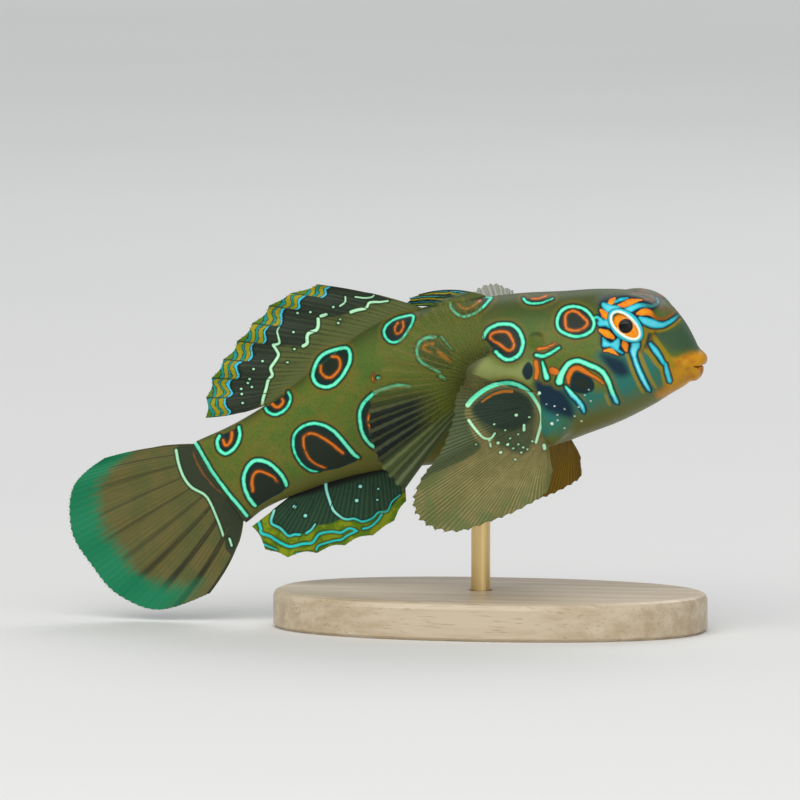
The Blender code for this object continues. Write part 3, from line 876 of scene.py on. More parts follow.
# %% Short lines of the body
BODY_LINES = [
    TAIL_BAR,
    stroke((471, 296), (480, 297), (491, 298), width=2),
    stroke((440, 376), (444.5, 379), width=4),
    stroke((441, 337), (446, 343), (453, 351), width=(2.6, 1.2)),
    stroke((535, 355.5), (541, 356.5), (548, 354), (558, 348), width=(4, 3)),
    stroke((541, 361), (543, 369), (545.5, 378), width=(2.5, 5.5)),
    stroke((378, 378), (379, 378), width=3.4),
    stroke(
        (476, 396), (483, 391), (492, 386.5), (500, 384), (508, 383.2), (516, 385), (523, 388.5),
        (529, 393.5),
        width=(5, 4.6),
    ),
]
print("short lines:", len(BODY_LINES))

# %% Orange cores of the rings
BODY_EMBERS = [
    stroke(
        (571, 311.5), (576, 313), (581, 317), (586, 323), (583, 328), (577, 330.5), (570, 331),
        (565, 328), (564, 321), (565, 315),
        width=2.4, closed=True,
    ),
    stroke(
        (489.5, 338), (491, 334.5), (496, 332.5), (503, 332), (508, 334), (511, 339), (513, 345),
        (511, 350), (507, 350.5), (503, 348), (498, 344), (493, 341.5),
        width=2.5, closed=True,
    ),
    stroke((458, 304), (461, 308), (466, 309), (471, 307.5), (477, 303), (480, 301), width=1.8),
    stroke((531, 299), (538, 299), (546, 296), width=1.6),
    stroke((433, 344), (427, 344.5), (423, 347), (425, 350), (431, 353), width=(3, 2)),
    stroke((403, 322), (403, 328), (400, 333), (396, 333.5), (395, 328), (398, 323), width=1.8),
    stroke(
        (332, 356.5), (338, 357.5), (340.5, 364), (338, 371), (332, 377), (326, 377), (321, 372),
        (321, 366),
        width=2.3,
    ),
    stroke((282, 399), (283, 402), (280, 406), (276, 407), (272, 404), width=2.5),
    stroke(
        (343, 453), (329, 441.7), (318, 435.4), (310.8, 433.3), (304.5, 436), (303.5, 442), (304.8, 449),
        (309.4, 458.6), (316.5, 464.2), (326.3, 468.4),
        width=(2.6, 1.4),
    ),
    stroke(
        (252.6, 491), (251.9, 481), (254, 474), (258.9, 471.2), (266, 473.3), (273, 476.8), (277, 482),
        width=(2.8, 1.6),
    ),
    stroke((231.6, 432), (231, 439), (228, 444.5), (224.6, 445.2), (223, 440), width=2.6),
    stroke(
        (376, 407), (369.8, 413.7), (368.4, 420.7), (370.5, 429), (374.7, 436), (381, 441),
        width=(2, 1.4),
    ),
    stroke((537, 349.5), (545, 348), (554, 344), width=(3, 1.6)),
    stroke((534.5, 362), (536, 370), (535, 378), width=3.6),
    stroke((551, 371), (554, 372), width=6.5),
    stroke((374, 373), (372.5, 378), (374, 382), width=1.2),
    stroke((438, 352), (444, 357), (451, 363), width=(3.4, 4.6, 2)),
    stroke((492, 395.5), (500, 392), (508, 391), (514, 391.5), width=(2.4, 3)),
    stroke((190, 449), (200, 470), (213, 486.6), (221, 493.6), width=(1.6, 2, 1)),
]

# %% Dark middles of the rings
BODY_HEARTS = RINGS + [
    stroke(
        (380, 402), (400, 393), (432, 396), (440, 420), (428, 446), (400, 452), (378, 444), (368, 425),
        closed=True,
    ),
    stroke(
        (432, 340), (444, 345), (453, 360), (450, 370), (436, 368), (424, 361), (420, 350),
        closed=True,
    ),
    stroke((527, 362), (532, 368), (531, 377), (525, 380), (521, 371), closed=True),
    stroke(
        (479, 399), (487, 391), (497, 387), (508, 386), (518, 389), (526, 395), (530, 403), (500, 408),
        closed=True,
    ),
]

# %% Shades of the body and the tail's dark band
PAD_SHADOW = [
    stroke(
        (490, 349), (480, 357), (472, 366), (466, 378), (463, 392), (461, 404),
        width=(5, 9, 11, 11, 9),
    ),
]

TAIL_PALE = [
    stroke(
        (174, 451), (177, 465), (182, 478), (190, 488), (203, 495), (209, 503), (215, 518), (219, 530),
        (221, 537),
        width=(3.4, 2.6),
    ),
    stroke((227, 540), (228, 543), (229, 547), width=2.6),
]
TAIL_DARK = patch(
    (176, 446), (178, 464), (183, 477), (191, 487), (204, 494), (211, 503), (217, 517), (222, 535),
    (224, 552), (238, 556), (254, 524), (242, 509), (228, 492), (214, 474), (203, 458), (194, 440),
)
PECTORAL_PAD = patch(
    (482, 358), (495, 362), (512, 366), (526, 362), (534, 368), (530, 384), (518, 388), (500, 386),
    (480, 392), (468, 396), (464, 384), (468, 368),
)

# %% [markdown]
# ## The markings of the face
#
# Round the eye the lines break up into short bright dashes and orange flames, like enamel. Below them two
# pale stripes run down the cheek between olive borders, and behind them an arch frames a dark spot.

# %% Bright lines of the face
FACE_LINES = [
    stroke((591, 319), (596, 318), (600, 322), width=(3, 3, 5)),
    stroke((602, 305.5), (607.9, 309.5), (614.6, 311), (621, 314.5), width=(5, 9, 9, 7)),
    stroke((613.5, 302.8), (618.6, 300.4), (626, 298.6), width=(2.5, 3.6, 1.5)),
    stroke(
        (620, 314.5), (629.6, 309.3), (636.7, 306.4), (644, 306.3), (650, 306.8), (656, 303.5),
        (655.5, 298.5),
        width=(6, 7, 5.5, 4.4, 3.4, 3, 2),
    ),
    stroke((634.5, 290), (639, 289.5), (643, 290.5), width=(2, 3.4, 2)),
    stroke((598.8, 324), (606, 323.8), (613, 327.5), width=(6, 7.4, 8)),
    stroke((601.2, 338.6), (607.9, 345), (613.8, 349.2), (620.5, 353.4), width=(1.6, 3, 3.2, 2)),
    stroke(
        (637.5, 318.2), (641.5, 321), (648.6, 323.6), (655.3, 325.3), (662, 325), (670, 321),
        (677, 315.5),
        width=(3, 8, 8.6, 6, 4.4, 3.4, 2),
    ),
    stroke((632.6, 339.5), (633.6, 345.4), (631.6, 351), (631.9, 357), width=(5.5, 9, 7, 4.4)),
    stroke((631.9, 356), (634, 363), (638, 373), (643, 383), (649, 393), width=(4.4, 4.6, 5, 4.4, 2.8)),
    stroke((648.4, 344.6), (652.5, 350), (657, 356), (662, 364), width=(3.6, 5.4, 4.6, 3)),
    stroke((663.4, 364.5), (665, 372), (667.5, 380), (670.5, 389), width=(3.4, 4.6, 4.2, 2.6)),
    stroke(
        (558, 382), (560, 375), (565, 366.5), (571, 362), (578, 361.5), (588, 365.5), (597, 369.5),
        (603, 375), (607, 383), (610, 391), (614, 400), (619, 408),
        width=(7.5, 5.5, 5, 5, 5, 5, 5, 4.6, 4.4, 3),
    ),
    stroke((564.5, 387), (570, 394), (576, 400), (581, 407), (583.5, 415), width=(3, 5, 4.6, 4.4, 2.4)),
]
FACE_PATCHES = patch(
    (601, 339), (600.5, 346.5), (605, 347.5), (609.5, 347), (615, 350), (617.4, 348), (617.8, 338),
    (613.5, 340), (609.5, 343), (605.5, 342),
)
print("bright lines of the face:", len(FACE_LINES))

# %% Flames of the face
FACE_EMBERS = [
    stroke(
        (567, 383), (567.5, 375.5), (571.5, 369.5), (577.5, 368.5), (586, 373.5), (595, 378.5),
        (602, 384),
        width=(2.5, 4.4, 4.4, 4.2, 2.8, 2.4, 1.4),
    ),
    stroke((613, 299), (609.5, 302.7), (607, 306), width=(2.5, 6, 3)),
    stroke(
        (616.3, 306), (623.3, 305.2), (628, 302.9), (634, 301.4), (640, 300.6),
        width=(2, 5.8, 6.4, 3.6, 1),
    ),
    stroke(
        (634, 314.8), (641.5, 312.8), (648, 313.4), (652, 317.2), (657, 319.6), (664, 318.6),
        (671, 313.6), (675.5, 309),
        width=(2, 7, 6, 3, 2.4, 2.6, 2, 1),
    ),
    stroke((599.3, 311), (603, 315), (608.3, 318.8), width=(3, 7.4, 5.4)),
    stroke((598.8, 331), (604.5, 333.8), (611.4, 338.4), width=(3.6, 7.4, 3.6)),
    stroke((602.6, 351.2), (608.7, 351), (616, 355.4), width=(2, 4.6, 1.4)),
    stroke((621.6, 340.8), (623, 345.5), (624.4, 351), width=(2.6, 6.4, 2.6)),
]

# %% Olive borders of the face
FACE_AMBER = [
    stroke((643.2, 328.5), (641.8, 336), (640.2, 344), (637, 350), width=(8.4, 7.0, 5.6, 3.4)),
    stroke(
        (643, 330.5), (650, 330.5), (660, 329.8), (669, 326.5), (678, 320),
        width=(5.6, 6.2, 4.8, 3.9, 2.8),
    ),
    stroke((624, 352), (627, 361), (631, 372), (637, 385), (643, 396), width=(2.8, 3.4, 3.6, 3.4, 2.2)),
    stroke((637.5, 353), (642, 365), (648, 378), (656, 391), width=(3.6, 3.9, 3.4, 2.2)),
    stroke(
        (642.5, 350), (648.5, 355), (653.5, 363), (659, 369), (661, 377), (663.5, 390),
        width=(3.4, 4.8, 3.9, 3.6, 3.1, 2.2),
    ),
    stroke((652, 337), (657, 345), (664, 355), (671, 366), width=(4.2, 4.8, 5.6, 5.6)),
    stroke((600, 384), (603.5, 394), (608, 405), (612, 412), width=(2.2, 2.8, 2.8, 2.0)),
    stroke(
        (586, 357.5), (597, 361), (607, 367.5), (613, 377), (617, 390), (625, 407),
        width=(2.2, 3.4, 3.6, 3.6, 3.4, 2.0),
    ),
]
FACE_SEAMS = [
    stroke((653, 330), (649.6, 338), (645.4, 346), (638, 353.5), width=(1.4, 2.2, 2, 1.2)),
    stroke(
        (640, 300.6), (648, 300), (655, 303), (659, 308.5), (666, 310.5), (673, 306),
        width=(3, 2.6, 2.6, 2.2, 1.6, 1),
    ),
    stroke((631, 294), (640, 293.5), (650, 296), width=(2, 2.4, 1)),
]
print("flames and borders:", len(FACE_EMBERS), len(FACE_AMBER))

# %% Shades of the face
FACE_HEARTS = patch((572, 373), (582, 374), (591, 380), (592, 390), (580, 394), (569, 388))
FACE_AREA = [
    stroke(
        (597, 294), (630, 288), (690, 292), (704, 330), (690, 396), (650, 402), (636, 392), (624, 366),
        (610, 356), (597, 350), (595, 320),
        closed=True,
    ),
    stroke(
        (560, 389), (576, 398), (588, 402), (606, 394), (622, 404), (620, 424), (570, 424),
        closed=True,
    ),
]
CHEEK = patch(
    (598, 352), (620, 352), (640, 352), (656, 366), (664, 390), (645, 403), (610, 420), (575, 432),
    (540, 436), (522, 430), (528, 396), (556, 388), (575, 384), (600, 392), (606, 376), (594, 362),
)
NAVY = [
    stroke(
        (598, 300), (616, 296), (640, 297), (654, 304), (652, 318), (660, 322), (652, 330), (646, 346),
        (630, 352), (606, 350), (598, 338),
        closed=True,
    ),
    stroke((598, 354), (614, 356), (624, 362), (628, 374), (618, 378), (606, 370), closed=True),
    stroke(
        (532, 381), (545, 380), (556, 385), (566, 394), (573, 408), (572, 419), (560, 417), (545, 412),
        (536, 402),
        closed=True,
    ),
]
SNOUT = patch(
    (663, 356), (669, 358.5), (676, 358), (687, 354), (697, 352), (716, 350), (716, 376), (700, 390),
    (680, 394), (660, 398), (655, 394), (664, 384), (661, 368),
)
FOREHEAD = patch(
    (652, 334), (676, 326), (690, 316), (712, 350), (690, 350), (672, 352), (662, 346),
)
CHEEK_SPECKS = dots(
    (583, 395), (577, 407), (589, 401), (573, 416), (551, 424), (556, 420), (556, 415), (563, 409),
    (545, 404), (553, 406), (587, 390), (580, 421), (563, 428),
    size=1.6,
) + dots((538, 393), (550.5, 423.5), size=3.0)

# %% [markdown]
# ## Measure the skin
#
# Each point of the skin now gets its distances, one named value for each kind of marking. The side markings
# fade out on the belly, which the photograph doesn't show. Soft shades are the same patches with a wide
# step. The blue lines grow dull over the brow, and the flames lose their glow towards the snout.

# %% Marks of the skin
SOFT_PATCHES = {
    # each with the distances, in pixels, where it begins and where it is full
    "pad": (PECTORAL_PAD, 7, -8),
    "cheek": (CHEEK, 6, -5),
    "navy": (NAVY, 4, -6),
    "snout": (SNOUT, 4, -3),
    "forehead": (FOREHEAD, 5, -5),
    "face": (FACE_AREA, 3, -3),
}
PAD_SHADOW_EDGES = (4, -5)
BROW_TURN, BROW_SLOPE, BROW_ROWS = 640, 0.25, (312, 306)
DULL_COLUMNS, SPENT_COLUMNS = (634, 648), (645, 655)
UNDERSIDE, UPPER_SIDE, BELLY = (0.5, 0.85), (0.35, 0.9), (0.25, 0.75)
RIM_REACH, OFF_RIM = 4.3, 3.0


def skin_marks(points, normals):
    pixels = to_pixels(points)
    across, down = pixels.T
    under = smooth(-normals[:, 2], *UNDERSIDE)
    lines = stroke_distance(pixels, RINGS + BODY_LINES + FACE_LINES)
    over_brow = down - BROW_SLOPE * (across - BROW_TURN)
    from_root, on_rim, _ = eye_polar(np.stack([points[:, 0], abs(points[:, 1]), points[:, 2]], 1))
    marks = {
        "cyan": np.minimum(lines, patch_distance(pixels, FACE_PATCHES)) + FAR * under,
        "ember": stroke_distance(pixels, BODY_EMBERS + FACE_EMBERS) + FAR * under,
        "amber": stroke_distance(pixels, FACE_AMBER) + FAR * under,
        "heart": patch_distance(pixels, BODY_HEARTS + FACE_HEARTS) + FAR * under,
        "seam": stroke_distance(pixels, FACE_SEAMS),
        "pale": stroke_distance(pixels, TAIL_PALE),
        "tail": patch_distance(pixels, TAIL_DARK),
        "speck": stroke_distance(pixels, CHEEK_SPECKS),
        "shadow": smooth(stroke_distance(pixels, PAD_SHADOW), *PAD_SHADOW_EDGES),
        "dull": smooth(over_brow, *BROW_ROWS) * smooth(across, *DULL_COLUMNS),
        "spent": smooth(across, *SPENT_COLUMNS),
        "back": smooth(normals[:, 2], *UPPER_SIDE),
        "belly": smooth(-normals[:, 2], *BELLY),
        "rim": np.where(from_root < RIM_REACH, on_rim, OFF_RIM),
    }
    for name, (patches, begins, full) in SOFT_PATCHES.items():
        marks[name] = smooth(patch_distance(pixels, patches), begins, full)
    for name in ("pad", "cheek"):
        marks[name] = marks[name] * (1 - under)
    return marks


skin_values = skin_marks(skin_points, skin_normals)
print("values on the skin:", sorted(skin_values))

# %% [markdown]
# ## The skin's finish
#
# The fish has no scales. Its skin is smooth, soft and wet: satin under a thin clear coat, with a little light
# passing into it. The ground is olive with tan and moss mottling, darker on the back, teal on the cheek and
# pale underneath. The painted lines go on top, each colour a layer with its own mask.

# %% Colours of the skin's ground
OLIVE = (0.105, 0.155, 0.020)
TAN = (0.165, 0.150, 0.022)
MOSS = (0.065, 0.148, 0.020)
BACK_SHADE = (0.035, 0.055, 0.018)
BELLY_SHADE = (0.13, 0.13, 0.030)
TEAL = (0.018, 0.165, 0.135)
DEEP_NAVY = (0.003, 0.022, 0.042)
FOREHEAD_SHADE = (0.045, 0.095, 0.045)
PAD_SHADE = (0.27, 0.31, 0.095)
ROOT_SHADE = (0.045, 0.045, 0.016)
SNOUT_GOLD = (0.60, 0.27, 0.008)
LIP_RUST = (0.46, 0.15, 0.012)
AMBER = (0.32, 0.22, 0.004)


def skin_ground(value, mottle, patchy, fine):
    """The skin without its lines: mottled olive, and the shades of back, belly, cheek, lobes and snout."""
    ground = over(OLIVE, TAN, mottle.above(0.52, 0.1) * 0.75)
    ground = over(ground, MOSS, patchy.above(0.53, 0.08) * 0.7)
    ground = over(ground, BACK_SHADE, fine.above(0.58, 0.1) * 0.4)
    ground = over(ground, BACK_SHADE, value["back"] * 0.75)
    ground = over(ground, FOREHEAD_SHADE, value["forehead"])
    ground = over(ground, over(TEAL, MOSS, mottle.above(0.53, 0.1) * 0.45), value["cheek"] * 0.95)
    ground = over(ground, BELLY_SHADE, value["belly"] * 0.85)
    ground = over(ground, PAD_SHADE, value["pad"] * (0.55 + mottle * 0.6))
    ground = over(ground, ROOT_SHADE, value["shadow"] * 0.8)
    ground = over(ground, DEEP_NAVY, value["navy"])
    gold = over(SNOUT_GOLD, LIP_RUST, mottle.above(0.52, 0.07) * 0.75)
    gold = over(gold, AMBER, patchy.above(0.5, 0.1) * 0.35)
    return over(ground, gold, value["snout"])


# %% Paint of the ringed spots
RUST, HALO = (0.13, 0.045, 0.010), (0.16, 0.125, 0.012)
INK, NAVY_INK_AND_SOCKET_SHADE = (0.004, 0.024, 0.016), (0.003, 0.014, 0.030)
SLATE, INDIGO = (0.013, 0.022, 0.012), (0.004, 0.022, 0.026)
SEA_GREEN, GREEN_EDGE, MINT = (0.055, 0.87, 0.52), (0.012, 0.46, 0.27), (0.36, 1.0, 0.70)
EMBER_BODY = (0.70, 0.17, 0.008)


def painted(ground, line, colour, depth=0.7):
    """A bright line with its dark edge on a ground."""
    return over(over(ground, INK, line.below(1.4, 1.1) * depth), colour, line.below(-0.25, 0.6))


def ringed(ground, cyan, ember, heart, mottle):
    """The ringed spots laid on a ground: olive halo, dark middle, dark edge, bright line, orange line."""
    ground = over(ground, HALO, cyan.below(4.6, 2.4) * 0.6)
    ground = over(ground, over(INDIGO, SLATE, heart.below(-5.0, 1.8)), heart.below(0.0, 1.2))
    ground = over(ground, INK, cyan.below(1.7, 1.1) * 0.92)
    ground = over(ground, RUST, ember.below(1.3, 0.9) * 0.8)
    glow = over(EMBER_BODY, RUST, mottle.above(0.62, 0.1) * 0.35)
    ground = over(ground, glow, ember.below(0.0, 0.5))
    bright = over(SEA_GREEN, GREEN_EDGE, cyan.above(-0.7, 0.7) * 0.5)
    bright = over(bright, MINT, cyan.below(-1.2, 0.8) * 0.7)
    return over(ground, bright, cyan.below(-0.25, 0.6))


# %% Paint of the face
CORE_BLACK, SEAM = (0.007, 0.007, 0.009), (0.20, 0.070, 0.010)
EMBER_FACE, EMBER_RED, YOLK = (0.90, 0.30, 0.006), (0.85, 0.17, 0.006), (0.90, 0.55, 0.02)
SKY, SKY_EDGE, ICE = (0.008, 0.56, 0.69), (0.003, 0.27, 0.36), (0.34, 0.92, 1.0)
DULL_TEAL = (0.030, 0.19, 0.18)


def face_paint(ground, value, cyan, ember, mottle, wobble):
    """The face's lines laid on a ground: dark spots, olive borders, flames, and blue lines on top."""
    head = over(ground, CORE_BLACK, value["heart"].below(-0.5, 2.0))
    head = over(head, AMBER, value["amber"].below(0.0, 1.2) * 0.85)
    head = over(head, SEAM, value["seam"].below(0.0, 0.7) * 0.8)
    head = over(head, NAVY_INK_AND_SOCKET_SHADE, cyan.below(1.8, 0.9) * 0.9)
    head = over(head, NAVY_INK_AND_SOCKET_SHADE, ember.below(1.5, 0.8) * (1 - value["spent"]) * 0.9)
    flame = over(EMBER_FACE, EMBER_RED, mottle.above(0.5, 0.08) * 0.7)
    flame = over(flame, YOLK, ember.below(-2.2, 0.9) * 0.45)
    head = over(head, over(flame, SEAM, value["spent"] * 0.85), ember.below(0.0, 0.6))
    bright = over(SKY, SKY_EDGE, cyan.above(-1.0, 0.9) * 0.6)
    bright = over(bright, ICE, cyan.below(-1.4, 0.9) * (value["cheek"] * 0.5 + 0.3 + wobble * 0.6))
    bright = over(bright, DULL_TEAL, value["dull"])
    return over(head, bright, cyan.below(0.0, 0.6))


# %% The skin, painted
TAIL_BASE, PALE = (0.034, 0.046, 0.024), (0.86, 0.97, 0.80)
PLAIN_SKIN = (0.15, 0.17, 0.05)


def skin_colours(tree):
    place = in_mm(tree)
    value = {name: mark(tree, name) for name in skin_values}
    mottle = noise(place, 1.7, 4.0, 0.6)
    patchy = noise(place, 4.5, 3.0, 0.55)
    fine = noise(place, 0.2, 3.0, 0.65)
    wobble = noise(place, 0.5) - 0.5
    cyan, ember = value["cyan"] + wobble * 1.3, value["ember"] + wobble * 1.6
    tail, rim = value["tail"], value["rim"]
    ground = skin_ground(value, mottle, patchy, fine)
    body = ringed(ground, cyan, ember, value["heart"], mottle)
    dusk = over(TAIL_BASE, HALO, mottle.above(0.6, 0.1) * 0.15)
    body = over(body, dusk, tail.below(0.0, 1.2) * cyan.above(1.6, 1.0))
    body = over(body, EMBER_BODY, ember.below(0.0, 0.7) * tail.below(-1.0, 0.5) * 0.3)
    ground = over(body, face_paint(ground, value, cyan, ember, mottle, wobble), value["face"])
    ground = painted(ground, value["pale"], MINT)
    ground = over(ground, PALE, value["speck"].below(0.0, 0.5) * 0.9)
    ground = over(ground, NAVY_INK_AND_SOCKET_SHADE, rim.below(0.60, 0.06) * 0.8)
    ground = over(ground, SKY, rim.below(0.48, 0.05))
    # painted shade: the skin's wall inside the eye's opening, round the eyeball, is painted near black
    ground = over(ground, NAVY_INK_AND_SOCKET_SHADE, rim.below(0.08, 0.04))
    relief = fine * 0.4 + mottle * 0.6 - cyan.below(0.0, 0.8) * 0.25
    return {"Base Color": ground, "Roughness": 0.34 + fine * 0.14, "Normal": bump(relief, 0.05, 0.6)}


skin_paint = surface(
    "fish_skin_paint",
    skin_colours,
    PLAIN_SKIN,
    specular_ior_level=0.16,
    coat_weight=0.05,
    coat_roughness=0.1,
    subsurface_weight=0.05,
    subsurface_radius=(0.6, 0.5, 0.3),
    subsurface_scale=0.0005,
)
skin = make_piece("fish_skin", skin_points, skin_faces, skin_paint, skin_values)
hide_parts("head", "torso", "tail_base")

# %% [markdown]
# ## Fins: the skin between the rays
#
# A fin is a fan of fine rays with a thin skin spread between them. The skin comes first: a closed sheet on
# the fin's own outline, fleshy at the root and as thin as paper at the rim. It folds a little to one side
# between two rays and to the other side between the next two, as a fan that isn't pulled tight, and its rim
# is drawn in between the rays.

# %% Outlines of the fins
DORSAL_FIRST = dict(
    root=((-1.2, 0, 34.9), (-2.8, 0, 34.5), (-4.6, 0, 34.2), (-6.0, 0, 33.9)),
    tips=((-7.6, 0, 35.0), (-8.6, 0, 34.6), (-8.9, 0, 34.1), (-8.4, 0, 33.8)),
    bow=((0, 0, 0.55), (0, 0, 0)),
    rays=4, teeth=3, fold=0.18, notch=0.05, fleshy=0.5,
)
DORSAL_SECOND = dict(
    root=((-7.8, 0, 33.6), (-12.2, 0, 31.5), (-16.2, 0, 28.9), (-19.6, 0, 26.3), (-23.0, 0, 23.8)),
    tips=(
        (-18.6, 0, 35.9), (-22.9, 0, 34.2), (-25.9, 0, 31.3), (-28.4, 0, 28.2), (-30.3, 0, 25.0),
        (-30.6, 0, 21.6),
    ),
    bow=((0, 0, 0.35), (0, 0, -0.5)),
    rays=9, teeth=8, fold=0.3, notch=0.035, fleshy=0.9,
)
ANAL = dict(
    root=((-9.2, 0, 16.8), (-13.2, 0, 16.2), (-17.4, 0, 15.0), (-21.6, 0, 13.3)),
    tips=(
        (-9.0, 0, 13.2), (-11.0, 0, 10.4), (-15.0, 0, 8.6), (-19.2, 0, 7.4), (-23.4, 0, 7.2),
        (-25.6, 0, 10.2),
    ),
    bow=((0, 0, 0), (0, 0, 0)),
    rays=8, teeth=7, fold=0.3, notch=0.05, fleshy=1.0,
)
PECTORAL = dict(
    root=((1.1, 7.6, 29.6), (-0.6, 8.2, 28.4), (-1.2, 8.4, 26.3), (-0.8, 8.1, 24.2)),
    tips=(
        (0.8, 8.0, 35.0), (-1.8, 9.2, 35.6), (-4.7, 10.6, 34.1), (-7.7, 11.6, 30.7), (-9.9, 12.0, 26.5),
        (-10.6, 11.9, 22.2), (-9.7, 11.0, 18.3), (-7.4, 9.5, 15.0),
    ),
    bow=((0, 0.5, 0), (0, 0.5, 0)),
    rays=28, teeth=27, fold=0.1, notch=0.03, fleshy=0.6,
)
PELVIC = dict(
    root=((7.2, 4.2, 20.2), (7.2, 6.0, 22.6), (6.3, 6.85, 25.4)),
    tips=(
        (8.2, 7.5, 17.4), (7.9, 9.3, 15.3), (5.6, 11.0, 13.7), (2.6, 12.3, 12.4), (-0.9, 13.3, 11.3),
        (-4.0, 14.0, 12.0), (-5.4, 14.2, 14.1), (-4.6, 13.8, 16.9), (-2.6, 13.2, 19.8),
        (-1.5, 12.5, 23.0), (-1.2, 11.9, 25.6), (0.1, 10.9, 27.8),
    ),
    bow=((0, 0.9, 0), (0, 0.9, 0)),
    rays=12, teeth=33, fold=0.14, notch=0.025, fleshy=0.7,
)
CAUDAL.update(rays=10, teeth=36, fold=0.2, notch=0.008, fleshy=0.6)

# %% The web of a fin
WEB_RIM = 0.1
SHEET_STEP = 0.004
FOLD_FROM, FLESH_TO = 0.22, 0.32


def on_web(fin, t, r):
    """Points of a fin's folded middle sheet, and the way that the sheet faces there."""
    before, after = np.maximum(t - SHEET_STEP, 0), np.minimum(t + SHEET_STEP, 1)
    across = fin_points(fin, after, r) - fin_points(fin, before, r)
    out = fin_points(fin, t, r + SHEET_STEP) - fin_points(fin, t, r - SHEET_STEP)
    facing = unit(np.cross(across, out))
    fold = fin["fold"] * np.sin(math.pi * t * (fin["rays"] - 1)) * smooth(r, FOLD_FROM, 1.0)
    return fin_points(fin, t, r) + facing * fold[:, None], facing


def drawn_in(fin, t, r):
    """r with the rim drawn in between the ray tips."""
    return r * (1 - fin["notch"] * abs(np.sin(math.pi * t * fin["teeth"])) * np.clip(r, 0, 1) ** 2)


def both_faces(upper, lower):
    """Values of a sheet's two faces, joined along the rim, so that each column runs out and back."""
    return np.concatenate([upper, lower[:, ::-1]], axis=1)


def web_sheet(fin, columns, rows):
    """A fin's web as one closed sheet with two faces, and the t and r of its points."""
    t, r = np.meshgrid(np.linspace(0, 1, columns), np.linspace(0, 1, rows), indexing="ij")
    r = drawn_in(fin, t, r)
    middle, facing = on_web(fin, t.ravel(), r.ravel())
    thick = WEB_RIM + (fin["fleshy"] - WEB_RIM) * smooth(r.ravel(), FLESH_TO, 0.0)
    half = facing * thick[:, None] / 2
    upper, lower = (sheet.reshape(columns, rows, 3) for sheet in (middle + half, middle - half))
    faces = grid_faces(columns, 2 * rows).tolist()
    for first in (0, (columns - 1) * 2 * rows):
        last = first + 2 * rows - 1
        faces += [(first + k, first + k + 1, last - k - 1, last - k) for k in range(rows - 1)]
    points = both_faces(upper, lower).reshape(-1, 3)
    return points, faces, both_faces(t, t).ravel(), both_faces(r, r).ravel()


# %% [markdown]
# ## Fins: the rays
#
# Rays are one shape repeated by a rule, so a Geometry Nodes tree makes them. Each ray is a line of points
# that lies on the folded web and carries its thickness. It forks once or twice on its way out, as soft rays
# do. The tree turns the lines into tubes that taper to the tips.

# %% The tree that makes tubes
RAY_SIDES = 7


def group_node(tree, kind, settings=(), sockets=()):
    """Adds a node to a Geometry Nodes tree and links or sets its inputs."""
    made = tree.nodes.new(kind)
    for key, value in dict(settings).items():
        setattr(made, key, value)
    for key, value in dict(sockets).items():
        if isinstance(value, bpy.types.NodeSocket):
            tree.links.new(value, made.inputs[key])
        else:
            made.inputs[key].default_value = value
    return made.outputs


def tube_tree():
    """Lines in, tapered tubes out. Its inputs are the number of sides, the thickness and the finish."""
    tree = bpy.data.node_groups.new("ray_tubes", "GeometryNodeTree")
    for name, kind in (
        ("Lines", "NodeSocketGeometry"),
        ("Sides", "NodeSocketInt"),
        ("Thickness", "NodeSocketFloat"),
        ("Finish", "NodeSocketMaterial"),
    ):
        tree.interface.new_socket(name, in_out="INPUT", socket_type=kind)
    tree.interface.new_socket("Tubes", in_out="OUTPUT", socket_type="NodeSocketGeometry")
    given = tree.nodes.new("NodeGroupInput").outputs
    taper = group_node(tree, "GeometryNodeInputNamedAttribute", {}, {"Name": "taper"})
    factors = {0: taper["Attribute"], 1: given["Thickness"]}
    width = group_node(tree, "ShaderNodeMath", dict(operation="MULTIPLY"), factors)
    circle = {"Resolution": given["Sides"], "Radius": 0.5 * MM}
    profile = group_node(tree, "GeometryNodeCurvePrimitiveCircle", {}, circle)
    curves = group_node(tree, "GeometryNodeMeshToCurve", {}, {"Mesh": given["Lines"]})
    sweep = {
        "Curve": curves[0], "Profile Curve": profile["Curve"], "Scale": width[0], "Fill Caps": True
    }
    tubes = group_node(tree, "GeometryNodeCurveToMesh", {}, sweep)
    rounded = group_node(tree, "GeometryNodeSetShadeSmooth", {}, {"Geometry": tubes[0]})
    whole = group_node(tree, "GeometryNodeRealizeInstances", {}, {"Geometry": rounded[0]})
    finished = {"Geometry": whole[0], "Material": given["Finish"]}
    done = group_node(tree, "GeometryNodeSetMaterial", {}, finished)
    tree.links.new(done[0], tree.nodes.new("NodeGroupOutput").inputs["Tubes"])
    return tree


RAY_TUBES = tube_tree()
print("nodes in the tree:", len(RAY_TUBES.nodes))

# %% Lines for the rays
RAY_STEPS = 16
PAST_RIM, FORK_OVERLAP = 0.012, 0.01
RAY_TAPER, FORK_THINNING = 0.7, 0.84


def branch_place(ray, branch, stage, r, forks, spacing):
    """The t of a branch along its way: at each fork it leans to one side, half as far as at the last."""
    t = np.full(len(r), ray)
    for level in range(stage):
        side = 1 if branch >> level & 1 else -1
        since_fork = np.clip((r - forks[level]) / (1 - forks[level]), 0, 1)
        t += side * spacing / 2 ** (level + 2) * since_fork
    return t


def ray_lines(fin, forks):
    """Each ray's lines on the web, as lists of t, r and taper. A ray forks at each r in forks."""
    spacing = 1 / (fin["rays"] - 1)
    stops = [0.0, *forks, 1.0 + PAST_RIM]
    lines = []
    for ray in np.linspace(0, 1, fin["rays"]):
        for stage, (start, end) in enumerate(zip(stops[:-1], stops[1:])):
            r = np.linspace(max(start - FORK_OVERLAP, 0), end, RAY_STEPS)
            taper = (1 - RAY_TAPER * np.clip(r, 0, 1)) * FORK_THINNING**stage
            for branch in range(2**stage):
                t = branch_place(ray, branch, stage, r, forks, spacing)
                if np.all((t >= 0) & (t <= 1)):
                    lines.append((t, drawn_in(fin, t, r), taper))
    return lines


